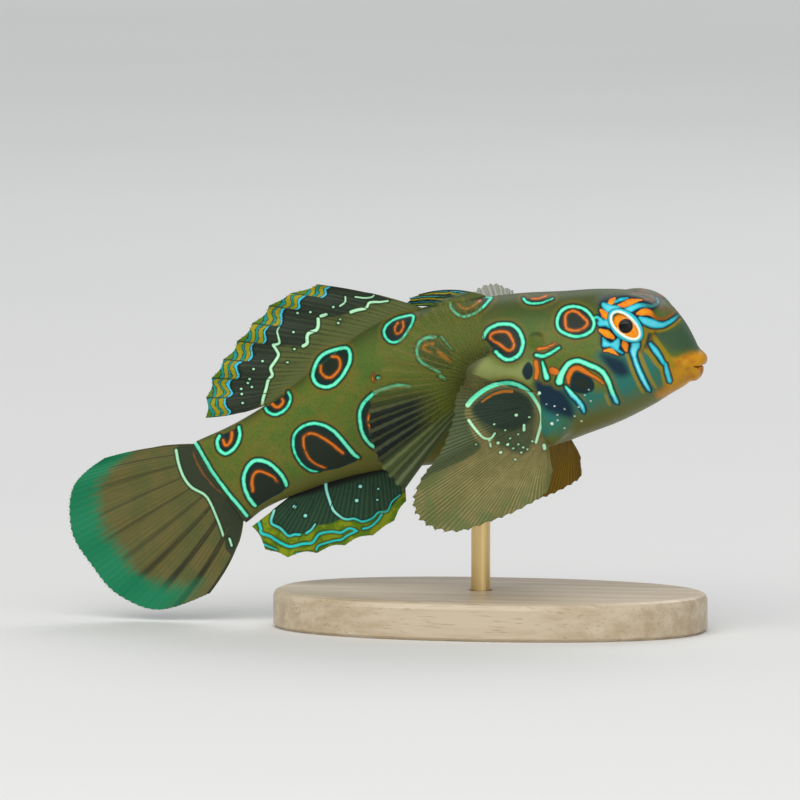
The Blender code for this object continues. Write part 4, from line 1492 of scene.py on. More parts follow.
# %% Make the rays
def make_rays(name, fin, forks, thickness, finish, patches, mirrored):
    """The rays of a fin as one piece."""
    lines = ray_lines(fin, forks)
    points = np.vstack([on_web(fin, t, r)[0] for t, r, _ in lines])
    if mirrored:
        points = points * OTHER_SIDE
    starts = np.arange(len(lines)) * RAY_STEPS
    edges = [(first + k, first + k + 1) for first in starts.tolist() for k in range(RAY_STEPS - 1)]
    mesh = bpy.data.meshes.new(name)
    mesh.from_pydata((points * MM).tolist(), edges, [])
    pixels = to_pixels(points)
    marks = dict(zip(("t", "r", "taper"), np.array(lines).transpose(1, 0, 2)))
    marks.update({key: patch_distance(pixels, closed) for key, closed in patches.items()})
    keep_marks(mesh, marks)
    piece = add_object(name, mesh)
    maker = piece.modifiers.new("tubes", "NODES")
    maker.node_group = RAY_TUBES
    inputs = {"Sides": RAY_SIDES, "Thickness": thickness, "Finish": finish}
    for item in RAY_TUBES.interface.items_tree:
        if item.name in inputs:
            maker[item.identifier] = inputs[item.name]
    shaped = piece.evaluated_get(bpy.context.evaluated_depsgraph_get())
    piece.data = bpy.data.meshes.new_from_object(shaped)
    piece.modifiers.remove(maker)
    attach(piece, "root")
    print(f"{name}: {len(lines)} branches, {len(piece.data.polygons)} faces")


# %% [markdown]
# ## Painting the fins
#
# The fins carry the same enamel lines as the body, and bands of their own. A web knows how far each of its
# points lies along the fin and out from the root, so streaks follow the rays. Each fin below has its own
# marks and colours, and one function builds all of them: it measures the web, gives it the web's paint, and
# lays the rays on it. The fins of a pair are mirror images.

# %% Measures of a web
BAND_STEPPED = 0.65


def band_place(fin, t, r, _):
    """Pixels in from the tips, measured mostly along the middle of each space between two rays."""
    spaces = fin["rays"] - 1
    middle = (np.minimum(np.floor(t * spaces), spaces - 1) + 0.5) / spaces
    rim = np.ones_like(r)
    here, tip = fin_points(fin, t, r), fin_points(fin, middle, rim)
    stepped = np.sum((tip - here) * unit(tip - fin_points(fin, middle, 0.5 * rim)), axis=1)
    straight = np.linalg.norm(fin_points(fin, t, rim) - here, axis=1)
    return (BAND_STEPPED * stepped + (1 - BAND_STEPPED) * straight) / PIXEL


def rim_place(fin, t, r, points):
    """Pixels in from the rim."""
    return np.linalg.norm(fin_points(fin, t, np.ones_like(r)) - points, axis=1) / PIXEL


def outer_face(fin, t, r, points):
    """1 on the face that looks away from the body, 0 on the other."""
    middle, facing = on_web(fin, t, r)
    upper = np.sum((points - middle) * facing, axis=1) > 0
    return upper == (facing[:, 1].mean() > 0)


# %% Build a fin
PLAIN_FIN = (0.11, 0.12, 0.05)


def dress_fin(
    name, nodes, fin, size, forks, thickness, web_colours, ray_paint, measures=(), lines=(), patches=()
):
    """Webs and rays for one fin, or for a pair. The webs take the place of the plain solid fins."""
    web_paint = surface(f"{name}_web_paint", web_colours, PLAIN_FIN, specular_ior_level=0.14)
    ray_finish = surface(
        f"{name}_ray_paint", ray_paint, PLAIN_FIN, roughness=0.5, specular_ior_level=0.08
    )
    points, faces, t, r = web_sheet(fin, *size)
    pixels = to_pixels(points)
    marks = dict(t=t, r=r)
    marks.update({key: measure(fin, t, r, points) for key, measure in dict(measures).items()})
    marks.update({key: stroke_distance(pixels, strokes) for key, strokes in dict(lines).items()})
    marks.update({key: patch_distance(pixels, closed) for key, closed in dict(patches).items()})
    for node_name in nodes:
        mirrored = node_name.endswith("right")
        placed = points * OTHER_SIDE if mirrored else points
        web_name, rays_name = (node_name.replace("_fin", part) for part in ("_web", "_rays"))
        web = make_piece(web_name, placed, faces, web_paint, marks)
        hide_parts(node_name)
        make_rays(rays_name, fin, forks, thickness, ray_finish, dict(patches), mirrored)


# %% Streaks, grain and rays
RAY_JOINT = (0.02, 0.02, 0.012)
JOINTS = 60


def rib(t, fin, lines=1):
    """1 on evenly spaced lines, this many for each ray of the fin, and 0 midway between two of them."""
    place = t * (fin["rays"] * lines - 1)
    return 1 - place.zigzag(0.5) * 2


def grain_of(tree, size=0.5):
    return noise(in_mm(tree), size, 3.0, 0.6)


def ray_colours(root, tip, change):
    """Rays that go from one colour to another, with the fine joints that soft rays have."""

    def colours(tree):
        r = mark(tree, "r")
        joint = (r * JOINTS).fraction().below(0.16, 0.1)
        ground = over(root, tip, r.above(*change))
        ground = over(ground, RAY_JOINT, joint * r.above(0.35, 0.1) * 0.45)
        return {"Base Color": ground, "Normal": bump(1 - joint, 0.02)}

    return colours


# %% [markdown]
# ## The first dorsal fin
#
# It lies folded back on the fish. Its bands run along the rays, so they are steps of t with a little wobble.

# %% Dress the first dorsal fin
LEAF, MUSTARD, CHARCOAL = (0.10, 0.19, 0.006), (0.33, 0.29, 0.006), (0.026, 0.034, 0.022)
BAND_TEAL, BAND_BLUE, FIN_OLIVE = (0.010, 0.27, 0.24), (0.05, 0.55, 0.74), (0.098, 0.118, 0.034)
FIRST_BANDS = (
    (0.94, LEAF), (0.84, CHARCOAL), (0.74, BAND_BLUE), (0.66, CHARCOAL), (0.56, MUSTARD),
    (0.48, CHARCOAL), (0.38, BAND_TEAL), (0.31, CHARCOAL), (0.22, MUSTARD), (0.13, CHARCOAL),
    (0.07, BAND_BLUE),
)


def dorsal_first_colours(tree):
    t, r = marks_of(tree, "t", "r")
    wavy = t + (grain_of(tree, 0.6) - 0.5) * 0.22
    ground = over(FIN_OLIVE, CHARCOAL, r.above(0.25, 0.1))
    for edge, colour in FIRST_BANDS:
        ground = over(ground, colour, wavy.below(edge, 0.02) * r.above(0.3, 0.08))
    return {"Base Color": ground, "Normal": bump(grain_of(tree, 0.3), 0.03)}


dress_fin(
    "dorsal_first", ["dorsal_fin_first"], DORSAL_FIRST, size=(60, 30), forks=(), thickness=0.24,
    web_colours=dorsal_first_colours,
    ray_paint=ray_colours(FIN_OLIVE, CHARCOAL, (0.3, 0.1)),
)

# %% [markdown]
# ## The second dorsal fin
#
# Olive at its root, then nearly black with pale dots and a pale broken line, and banded in blue, green and
# mustard at the rim. The bands run square to the rays and step at each one, as tiles do, so their place is
# measured along the middle of each space between two rays. The body's rings reach over its root.

# %% Marks of the second dorsal fin
DORSAL_PALE = [
    stroke(
        (262, 404), (263, 398), (266, 388), (268, 380), (272, 375), (270.5, 368), (275, 361), (278, 355),
        (276, 350), (273, 345),
        width=3.2,
    ),
    stroke((273, 345), (279, 343), (278, 336), (277, 331), (279, 327), width=(3, 1.6)),
    stroke((303, 346), (307, 343), (307, 337), (309, 333), (316, 330), (318, 326), (318, 319), width=3.6),
    stroke(
        (351, 312), (357, 310), (366, 308), (369, 303), (374, 302), (380, 302), (388, 301),
        width=(3.6, 2),
    ),
    stroke((345, 297), (345, 302), (340, 306), width=2),
    stroke((355, 297), (365, 298), (372, 297), (374, 295), width=1.8),
] + dots(
    (333, 307), (310, 312), (297, 313), (293, 332), (294, 349), (262, 361), (253, 369), (249, 379),
    (247, 383), (251, 387), (240, 389), (241, 394), (242, 403), (287, 362.5), (340, 319), (338, 323),
    size=2.4,
) + [stroke((321, 316), (326, 314.5), width=3.4)]
DORSAL_DARK = patch(
    (262, 404), (264, 396), (268, 382), (272, 374), (272, 366), (277, 356), (275, 348), (284, 345),
    (303, 346), (307, 338), (316, 330), (320, 319), (338, 316), (352, 312), (367, 307), (372, 302),
    (390, 301), (410, 290), (330, 260), (240, 290), (180, 380), (190, 435), (240, 430),
)
DORSAL_RINGS = [RING_DROP_UPPER, RING_DROP_MIDDLE, RING_FIN_FOOT]

# %% Dress the second dorsal fin
FIN_SHADE, FIN_PALE = (0.045, 0.052, 0.022), (0.52, 0.95, 0.58)
DARK_STREAK, BAND_GROUND = (0.035, 0.055, 0.028), (0.012, 0.022, 0.014)
BAND_SEAM, RAY_SHADOW = (0.006, 0.030, 0.02), (0.01, 0.02, 0.012)
DORSAL_RAY_TIP = (0.015, 0.022, 0.014)
SECOND_BANDS = (
    # pixels in from the rim
    (23.0, BAND_BLUE), (20.0, MUSTARD), (14.8, BAND_TEAL), (12.0, MUSTARD), (6.8, BAND_TEAL), (3.0, LEAF),
)
BANDS_BEGIN = 25.5
WAVES = 16 * math.pi


def dorsal_second_colours(tree):
    t, r, band = marks_of(tree, "t", "r", "band")
    dark, cyan, ember, heart = marks_of(tree, "dark", "cyan", "ember", "heart")
    grain = grain_of(tree)
    wavy = band + (grain_of(tree, 1.0) - 0.5) * 9.0 + (t * WAVES).sine() * 2.0
    streak = (rib(t, DORSAL_SECOND, 3) + (grain - 0.5) * 0.9).above(0.75, 0.25)
    ground = over(FIN_OLIVE, FIN_SHADE, streak * r.above(0.2, 0.2) * 0.8)
    ground = over(ground, over(CHARCOAL, DARK_STREAK, streak), dark.below(0.0, 1.2))
    ground = over(ground, BAND_GROUND, wavy.below(BANDS_BEGIN, 0.6) * dark.below(0.0, 1.0))
    for edge, colour in SECOND_BANDS:
        ground = over(ground, BAND_SEAM, wavy.below(edge + 0.8, 0.4))
        ground = over(ground, colour, wavy.below(edge, 0.4))
    # painted shadow: a dark line along each ray, strongest in the banded outer part
    on_ray = rib(t, DORSAL_SECOND).above(0.93, 0.04)
    ground = over(ground, RAY_SHADOW, on_ray * band.below(40, 10) * 0.8)
    ground = painted(ground, mark(tree, "pale"), over(FIN_PALE, BAND_BLUE, band.below(26, 4)))
    rings = ringed(ground, cyan, ember, heart, grain)
    ground = over(ground, rings, cyan.below(6.0, 2.0) + heart.below(0.0, 1.0))
    relief = rib(t, DORSAL_SECOND, 4) * 0.5 + grain * 0.5
    return {"Base Color": ground, "Roughness": 0.36 + grain * 0.12, "Normal": bump(relief, 0.04)}


dress_fin(
    "dorsal_second", ["dorsal_fin_second"], DORSAL_SECOND, size=(240, 100), forks=(0.5,), thickness=0.2,
    web_colours=dorsal_second_colours,
    ray_paint=ray_colours(FIN_OLIVE, DORSAL_RAY_TIP, (0.4, 0.12)),
    measures=dict(band=band_place),
    lines=dict(pale=DORSAL_PALE, cyan=DORSAL_RINGS, ember=BODY_EMBERS),
    patches=dict(dark=DORSAL_DARK, heart=DORSAL_RINGS),
)

# %% [markdown]
# ## The anal fin
#
# Dark teal with a yellow-green margin, and two wavy lines that run along it from ray to ray.

# %% Marks of the anal fin
ANAL_LINES = [
    stroke(
        (325.6, 483.8), (326.5, 491), (329, 499.3), (333.3, 510.5), (341.7, 518.2), (348, 519.5),
        (354.3, 518.9), (362.8, 521.7), (372.6, 518.2), (378.2, 512.6), (386.6, 511.5), (392, 502),
        (400, 495),
        width=(3.2, 1.6),
    ),
    stroke((273.7, 510.5), (270.9, 523), (280, 528.7), (287, 536.4), (294, 535), (299.6, 535), width=2.8),
    stroke((306, 533.6), (311, 530), (315, 524.5), width=(2.8, 2)),
    stroke(
        (257.5, 520.3), (260.3, 528.7), (261, 533.5), (270.2, 537), (280, 544), (289.8, 547),
        (302.4, 544.2), (312.2, 542.8), (319.3, 534.3), (330.5, 532.2), (340.3, 533), (348.7, 528.7),
        (355, 530),
        width=(3.4, 2.6),
    ),
    stroke((257.5, 543), (266, 546), (275.8, 551), width=(3, 1.6)),
    stroke((295.4, 554), (310.8, 552.6), width=2),
    stroke((316, 550), (319.3, 545.6), (333.3, 541.4), (341, 540), (347.3, 535.7), (357, 531), width=2.4),
    stroke((363, 529), (370, 527), (377, 521), (381, 515), width=2.4),
] + dots((294, 507), (305, 516), (360, 486.6), (356.4, 500.7), size=3.6) + dots(
    (377, 500), (378, 489),
    size=2.2,
)
ANAL_DARK = patch(
    (274, 505), (272, 522), (281, 529), (288, 536), (299, 534), (308, 533), (317, 526), (330, 524),
    (342, 519), (354, 519.5), (363, 522), (373, 518), (379, 512), (391, 507), (402, 494), (424, 476),
    (420, 440), (300, 470),
)

# %% Dress the anal fin
ANAL_MARGIN, ANAL_ROOT_SHADOW = (0.24, 0.30, 0.008), (0.004, 0.005, 0.004)
ANAL_INNER, ANAL_STREAK = (0.018, 0.048, 0.027), (0.035, 0.095, 0.045)
ANAL_TEAL, ANAL_MINT = (0.02, 0.62, 0.58), (0.34, 0.95, 0.82)
ANAL_RAY_ROOT, ANAL_RAY_TIP = (0.02, 0.035, 0.022), (0.08, 0.13, 0.008)


def anal_colours(tree):
    t, r, dark, pale = marks_of(tree, "t", "r", "dark", "pale")
    grain = grain_of(tree)
    streak = (rib(t, ANAL, 4) + (grain - 0.5) * 0.8).above(0.6, 0.3)
    margin = over(LEAF, ANAL_MARGIN, grain_of(tree, 1.1).above(0.5, 0.1))
    ground = over(margin, over(ANAL_INNER, ANAL_STREAK, streak * 0.7), dark.below(0.0, 1.0))
    # painted shadow: the fin's root, in the gap under the belly, is painted near black
    ground = over(ground, ANAL_ROOT_SHADOW, r.below(0.16, 0.05))
    ground = painted(ground, pale, over(ANAL_TEAL, ANAL_MINT, r.below(0.62, 0.12)))
    relief = rib(t, ANAL, 3) * 0.5 + grain * 0.5
    return {"Base Color": ground, "Roughness": 0.36 + grain * 0.12, "Normal": bump(relief, 0.04)}


dress_fin(
    "anal", ["anal_fin"], ANAL, size=(200, 90), forks=(0.5,), thickness=0.2,
    web_colours=anal_colours,
    ray_paint=ray_colours(ANAL_RAY_ROOT, ANAL_RAY_TIP, (0.62, 0.1)),
    lines=dict(pale=ANAL_LINES),
    patches=dict(dark=ANAL_DARK),
)

# %% [markdown]
# ## The tail fin
#
# Brown between dark rays, with a teal rim that fades inwards in streaks. The body's dark band and its pale
# line cross its root.

# %% Dress the tail fin
FIN_BROWN, CAUDAL_STREAK, CAUDAL_MOSS = (0.125, 0.108, 0.032), (0.150, 0.128, 0.045), (0.085, 0.105, 0.032)
CAUDAL_GAP, CAUDAL_RIB = (0.022, 0.024, 0.014), (0.03, 0.034, 0.018)
TAIL_TEAL, TAIL_STREAK, TAIL_MINT = (0.006, 0.20, 0.088), (0.045, 0.056, 0.028), (0.42, 0.84, 0.52)
CAUDAL_RAY_ROOT, CAUDAL_RAY_TIP = (0.085, 0.078, 0.03), (0.01, 0.14, 0.06)


def caudal_colours(tree):
    t, rim, dark, pale = marks_of(tree, "t", "rim", "dark", "pale")
    grain = grain_of(tree)
    fine = (rib(t, CAUDAL, 5) + (grain - 0.5) * 0.5).above(0.55, 0.3)
    ground = over(FIN_BROWN, CAUDAL_STREAK, fine * 0.7)
    ground = over(ground, CAUDAL_MOSS, grain_of(tree, 2.6).above(0.52, 0.15) * 0.7)
    ground = over(ground, CAUDAL_GAP, rib(t, CAUDAL).above(0.72, 0.14) * t.above(0.62, 0.16) * 0.85)
    ground = over(ground, CAUDAL_RIB, rib(t, CAUDAL).above(0.86, 0.1) * 0.45)
    wavy = rim + (grain_of(tree, 3.0) - 0.5) * 24 + (rib(t, CAUDAL, 3) - 0.5) * 5
    ground = over(ground, TAIL_TEAL, wavy.below(32, 12) * t.below(0.9, 0.08) * 0.95)
    ground = over(ground, over(TAIL_BASE, TAIL_STREAK, fine * 0.6), dark.below(0.0, 1.2))
    ground = painted(ground, pale, TAIL_MINT)
    relief = rib(t, CAUDAL, 4) * 0.6 + grain * 0.4
    return {"Base Color": ground, "Roughness": 0.38 + grain * 0.1, "Normal": bump(relief, 0.05)}


dress_fin(
    "caudal", ["caudal_fin"], CAUDAL, size=(200, 120), forks=(0.4, 0.7), thickness=0.24,
    web_colours=caudal_colours,
    ray_paint=ray_colours(CAUDAL_RAY_ROOT, CAUDAL_RAY_TIP, (0.72, 0.1)),
    measures=dict(rim=rim_place),
    lines=dict(pale=TAIL_PALE),
    patches=dict(dark=TAIL_DARK),
)

# %% [markdown]
# ## The pectoral fins
#
# Their upper skin is clear enough to show the body behind it, and only its rays and its root show well. The
# lower part is nearly black between pale speckled rays. So the paint also makes the Alpha.

# %% Dress the pectoral fins
PECTORAL_OLIVE, PECTORAL_TAN = (0.125, 0.165, 0.022), (0.180, 0.180, 0.036)
PECTORAL_INK, PECTORAL_SMOKE = (0.008, 0.013, 0.012), (0.050, 0.058, 0.024)
PECTORAL_ROOT = (0.055, 0.058, 0.014)
VEIL_SHADE, VEIL_PALE = (0.055, 0.074, 0.032), (0.12, 0.15, 0.062)
RAY_OLIVE, RAY_TAN = (0.115, 0.120, 0.020), (0.180, 0.165, 0.040)
RAY_DIM, RAY_SPECK = (0.16, 0.16, 0.055), (0.60, 0.58, 0.26)
DARK_FROM = (0.63, 0.07)


def pectoral_colours(tree):
    t, r = marks_of(tree, "t", "r")
    grain = grain_of(tree)
    fine = (rib(t, PECTORAL) + (grain - 0.5) * 0.6).above(0.62, 0.22)
    lower = t.above(*DARK_FROM) * t.below(0.89, 0.04) * r.above(0.40, 0.18)
    last = t.above(0.89, 0.05)
    ground = over(PECTORAL_OLIVE, PECTORAL_TAN, fine)
    ground = over(ground, over(PECTORAL_INK, PECTORAL_SMOKE, fine), lower)
    ground = over(ground, over(VEIL_SHADE, VEIL_PALE, fine), last)
    root = r.below(0.20, 0.16) * t.below(0.75, 0.2)
    ground = over(ground, PECTORAL_ROOT, root * 0.8)
    return {
        "Base Color": ground,
        "Roughness": 0.36 + grain * 0.1,
        "Normal": bump(grain, 0.03),
        "Alpha": 0.30 + fine * 0.10 + lower * 0.60 + last * 0.60 + root * 0.30,
    }


def pectoral_ray_colours(tree):
    t, r = marks_of(tree, "t", "r")
    speck = grain_of(tree, 0.35).above(0.60, 0.05)
    lower = t.above(*DARK_FROM) * t.below(0.91, 0.04) * r.above(0.45, 0.12)
    ground = over(RAY_OLIVE, RAY_TAN, r.above(0.4, 0.3))
    ground = over(ground, over(RAY_DIM, RAY_SPECK, speck), lower)
    ground = over(ground, VEIL_PALE, t.above(0.90, 0.04) * 0.7)
    return {"Base Color": over(ground, PECTORAL_ROOT, r.below(0.18, 0.14) * 0.7)}


dress_fin(
    "pectoral", ["pectoral_fin_left", "pectoral_fin_right"], PECTORAL,
    size=(200, 110), forks=(0.62,), thickness=0.105,
    web_colours=pectoral_colours,
    ray_paint=pectoral_ray_colours,
)

# %% [markdown]
# ## The pelvic fins
#
# Broad, sandy brown and finely ribbed. A dark spot with a bright ring sits near the root, with pale dots
# round it, and the rear part is a thinner veil. The face turned to the body is amber.

# %% Marks of the pelvic fins
PELVIC_RING = [
    stroke(
        (467, 405), (472, 399), (479, 393), (487, 388), (496, 384.5), (505, 383), (513, 384.5),
        (520, 387), (527, 391), (532, 397), (537, 405), (540, 413), (540.5, 420), (539, 428), (537, 435),
        (535, 442),
        width=(5.2, 3),
    ),
    stroke((468, 420), (473, 427), (479, 434), (484, 438), (490, 438), (494, 433), width=(3.4, 2.4)),
    stroke((488, 439), (490, 446), width=2.4),
] + dots(
    (493, 424), (504, 430), (517, 434), (509, 438), (517, 444), (522, 447), (526, 449), (514, 459),
    (528, 417), (475, 444), (512, 448), (531, 441), (520, 452),
    size=2.2,
) + dots((537, 394), (515, 415), (497, 442.5), (506.5, 444), (499.5, 452), size=3.2) + [
    stroke((523, 425), (523, 430), width=3), stroke((543, 445), (543.5, 448), width=3.8)
]
PELVIC_EMBER = [stroke((481, 402), (488, 397), (495, 393.5), (503, 391.5), (511, 391.5), width=(1.6, 3))]
PELVIC_DARK = patch(
    (471, 408), (482, 397), (495, 390), (508, 388.5), (520, 391.5), (528, 398), (532, 406),
    (531, 417), (526, 425), (515, 430), (500, 430), (488, 426), (478, 419),
)
PELVIC_DUSK = patch(
    (472, 404), (482, 396), (495, 389), (508, 388), (520, 392), (530, 401), (535, 412), (534, 430),
    (530, 446), (522, 454), (508, 451), (498, 445), (488, 435), (478, 426), (471, 414),
)
PELVIC_VEIL = patch(
    (480, 447), (466, 458), (448, 466), (430, 474), (410, 486), (380, 480), (420, 360), (520, 340),
    (520, 372), (490, 384), (472, 398), (464, 410), (468, 426), (474, 438),
)

# %% Colours of the pelvic fins' webs
PELVIC_TAN, PELVIC_MOSS, PELVIC_RIM = (0.27, 0.225, 0.085), (0.125, 0.120, 0.038), (0.085, 0.13, 0.035)
PELVIC_INNER, PELVIC_RUST, PELVIC_FOLD = (0.31, 0.20, 0.024), (0.18, 0.10, 0.012), (0.035, 0.036, 0.014)
DUSK_SHADE, DUSK_STREAK = (0.030, 0.052, 0.026), (0.065, 0.095, 0.042)
SPOT_INK, SPOT_GRAIN, SPOT_GLOW = (0.014, 0.028, 0.020), (0.026, 0.046, 0.028), (0.42, 0.14, 0.012)
GREEN_ABOVE = (24.6, 0.9)


def pelvic_colours(tree):
    t, r, outer = marks_of(tree, "t", "r", "outer")
    dark, dusk, veil, ember, pale = marks_of(tree, "dark", "dusk", "veil", "ember", "pale")
    height = node(tree, "ShaderNodeSeparateXYZ", {}, {0: in_mm(tree)}, output=2)
    grain, streak = grain_of(tree), grain_of(tree, 1.4)
    fine = (rib(t, PELVIC, 6) + (grain - 0.5) * 0.7).above(0.5, 0.3)
    ground = over(PELVIC_MOSS, PELVIC_TAN, fine * 0.75 + streak.above(0.52, 0.12) * 0.25)
    ground = over(ground, PELVIC_RIM, r.above(0.76, 0.16) * streak.above(0.48, 0.12) * 0.7)
    ground = over(ground, over(VEIL_SHADE, VEIL_PALE, fine * 0.6), veil.below(0.0, 1.2))
    ground = over(ground, PELVIC_FOLD, veil.below(0.0, 2.0) * t.above(0.93, 0.05) * 0.7)
    ground = over(over(PELVIC_INNER, PELVIC_RUST, fine * 0.7), ground, outer.above(0.5, 0.1))
    ground = over(ground, over(DUSK_SHADE, DUSK_STREAK, fine), dusk.below(-0.5, 4.0) * 0.85)
    ground = over(ground, over(SPOT_INK, SPOT_GRAIN, grain), dark.below(-0.5, 3.0) * 0.95)
    ground = over(ground, SPOT_GLOW, ember.below(0.0, 0.6))
    line = over(FIN_PALE, SEA_GREEN, height.above(*GREEN_ABOVE) * 0.8)
    ground = painted(ground, pale, line, 0.3)
    relief = rib(t, PELVIC, 5) * 0.7 + grain * 0.3
    return {
        "Base Color": ground,
        "Roughness": 0.38 + grain * 0.1,
        "Normal": bump(relief, 0.06),
        "Alpha": 1 - veil.below(0.0, 3.0) * t.above(0.88, 0.08) * 0.5,
    }


# %% Dress the pelvic fins
PELVIC_RAY_ROOT, PELVIC_RAY_TIP = (0.17, 0.145, 0.05), (0.28, 0.24, 0.10)
VEIL_RAY, DUSK_RAY, DARK_RAY = (0.09, 0.115, 0.05), (0.055, 0.082, 0.036), (0.022, 0.036, 0.024)


def pelvic_ray_colours(tree):
    r, dark, dusk, veil = marks_of(tree, "r", "dark", "dusk", "veil")
    ground = over(PELVIC_RAY_ROOT, PELVIC_RAY_TIP, r.above(0.5, 0.2))
    ground = over(ground, VEIL_RAY, veil.below(0.0, 1.0))
    ground = over(ground, DUSK_RAY, dusk.below(0.0, 3.0))
    return {"Base Color": over(ground, DARK_RAY, dark.below(0.0, 3.0))}


dress_fin(
    "pelvic", ["pelvic_fin_left", "pelvic_fin_right"], PELVIC,
    size=(200, 110), forks=(0.3, 0.6), thickness=0.24,
    web_colours=pelvic_colours,
    ray_paint=pelvic_ray_colours,
    measures=dict(outer=outer_face),
    lines=dict(pale=PELVIC_RING, ember=PELVIC_EMBER),
    patches=dict(dark=PELVIC_DARK, dusk=PELVIC_DUSK, veil=PELVIC_VEIL),
)

# %% [markdown]
# ## Eyes
#
# Each eye is a ball turned about the line it looks along. The front of the ball is hollow: the iris slopes up
# to a round pupil, which the lens fills with a black dome. A clear cornea closes the front over both, so the
# iris lies as deep as in a real eye.

# %% Turned eye shapes
EYE_TURNS = 96
EYE_LIFT = 0.45
EYE_RADIUS, SCLERA_FROM = 1.95, 1.1
LENS_RADIUS, LENS_BASE, LENS_DOME = 0.66, 1.42, 0.3
IRIS_PROFILE = (
    (0.69, 1.40), (0.72, 1.47), (0.78, 1.50), (0.9, 1.49),
    (1.1, 1.42), (1.3, 1.32), (1.5, 1.18), (1.66, 1.02),
)
CORNEA_OUTSIDE, CORNEA_INSIDE, CORNEA_EDGE = 1.96, 1.92, 1.15
CORNEA_STEPS = 40


def arc(radius, start, end, count, middle=0.0, height=None):
    """Points of a profile, off the eye's axis and along it, on an arc between two angles from the axis."""
    angles = np.linspace(start, end, count)
    return [(radius * math.sin(a), middle + (height or radius) * math.cos(a)) for a in angles]


EYE_PROFILE = arc(LENS_RADIUS, 0, math.pi / 2, 14, EYE_LIFT + LENS_BASE, LENS_DOME)
EYE_PROFILE += [(off, EYE_LIFT + ahead) for off, ahead in IRIS_PROFILE]
EYE_PROFILE += arc(EYE_RADIUS, SCLERA_FROM, math.pi, 30)
CORNEA_PROFILE = arc(CORNEA_OUTSIDE, 0, CORNEA_EDGE, CORNEA_STEPS, EYE_LIFT)
CORNEA_PROFILE += arc(CORNEA_INSIDE, CORNEA_EDGE, 0, CORNEA_STEPS, EYE_LIFT)


def turned(profile, side):
    """A closed shape turned about the eye's line of sight, with each point's place in the profile."""
    angle = np.linspace(0, 2 * math.pi, EYE_TURNS, endpoint=False)
    way = np.cos(angle)[:, None] * EYE_LONG + np.sin(angle)[:, None] * EYE_SHORT
    middle = np.array(profile[1:-1])
    rings = EYE_AT + middle[:, None, :1] * way + middle[:, None, 1:] * EYE_FACING
    ends = np.array([profile[0][1], profile[-1][1]])
    points = np.vstack([rings.reshape(-1, 3), EYE_AT + ends[:, None] * EYE_FACING])
    marks = dict(
        off=np.concatenate([np.repeat(middle[:, 0], EYE_TURNS), [0, 0]]),
        ahead=np.concatenate([np.repeat(middle[:, 1], EYE_TURNS), ends]),
        turn=np.cos(np.concatenate([np.tile(angle, len(middle)), [0, 0]])),
    )
    return points * (1, side, 1), tube_faces(len(middle), EYE_TURNS), marks


print("points in the profiles of ball and cornea:", len(EYE_PROFILE), len(CORNEA_PROFILE))

# %% Paint of the eye
IRIS_RED, IRIS_ORANGE, IRIS_PALE = (0.88, 0.22, 0.003), (0.96, 0.36, 0.008), (1.0, 0.80, 0.36)
IRIS_EDGE, PUPIL_BLACK, BALL_BLACK = (0.30, 0.03, 0.004), (0.002, 0.002, 0.003), (0.02, 0.02, 0.018)
PLAIN_EYE, PLAIN_CORNEA = (0.8, 0.3, 0.03), (0.9, 0.9, 0.9)


def iris_colours(tree):
    off, ahead, turn = marks_of(tree, "off", "ahead", "turn")
    fibres = noise(in_mm(tree), 0.16, 3.0, 0.6)
    iris = over(IRIS_RED, IRIS_ORANGE, fibres.above(0.5, 0.12))
    iris = over(iris, IRIS_PALE, (turn * turn).below(0.30, 0.2) * off.above(0.80, 0.06) * 0.85)
    iris = over(iris, IRIS_EDGE, off.below(0.77, 0.03))
    iris = over(iris, PUPIL_BLACK, off.below(0.72, 0.02) * ahead.above(0.5, 0.1))
    iris = over(iris, BALL_BLACK, ahead.below(1.1, 0.1))
    return {"Base Color": iris, "Normal": bump(fibres, 0.05, 0.5)}


EYE_PAINT = surface("eye_paint", iris_colours, PLAIN_EYE, roughness=0.35, specular_ior_level=0.06)
CORNEA = surface(
    "cornea", None, PLAIN_CORNEA, base_color=(1, 1, 1, 1), metallic=1.0, roughness=0.03, alpha=0.009
)

# %% [markdown]
# ## The ring round each eye
#
# A thin pale ring of skin lies round the opening. It is a tube of its own, because it is finer than the
# skin's grid. Its path is the opening's edge, at the height where the skin lies beside it: a few waves are
# fitted to that height, so that the ring is smooth all round. Its outer side slopes away into the skin.

# %% The ring's shape
RIM_RADIUS, RIM_SLOPE = 0.12, 0.36
RIM_SIDES, RIM_SINK = 24, 0.02
PLAIN_RING = (0.5, 0.8, 0.8)
BESIDE_OPENING, LEFT_SIDE_FROM, EYE_REACH = (0.35, 0.8), 2.0, 4.6


def waves(turn):
    """A turn angle's first sines and cosines, as columns. Sums of them are smooth all round."""
    return np.stack([np.ones_like(turn), *(f(k * turn) for k in (1, 2) for f in (np.cos, np.sin))], axis=1)


def skin_round_eye():
    """How far the skin lies from OPENING_ROOT just outside the opening, as weights for waves()."""
    far, outside, turn = eye_polar(skin_points[skin_points[:, 1] > LEFT_SIDE_FROM])
    beside = (outside > BESIDE_OPENING[0]) & (outside < BESIDE_OPENING[1]) & (far < EYE_REACH)
    return np.linalg.lstsq(waves(turn[beside]), far[beside], rcond=None)[0]


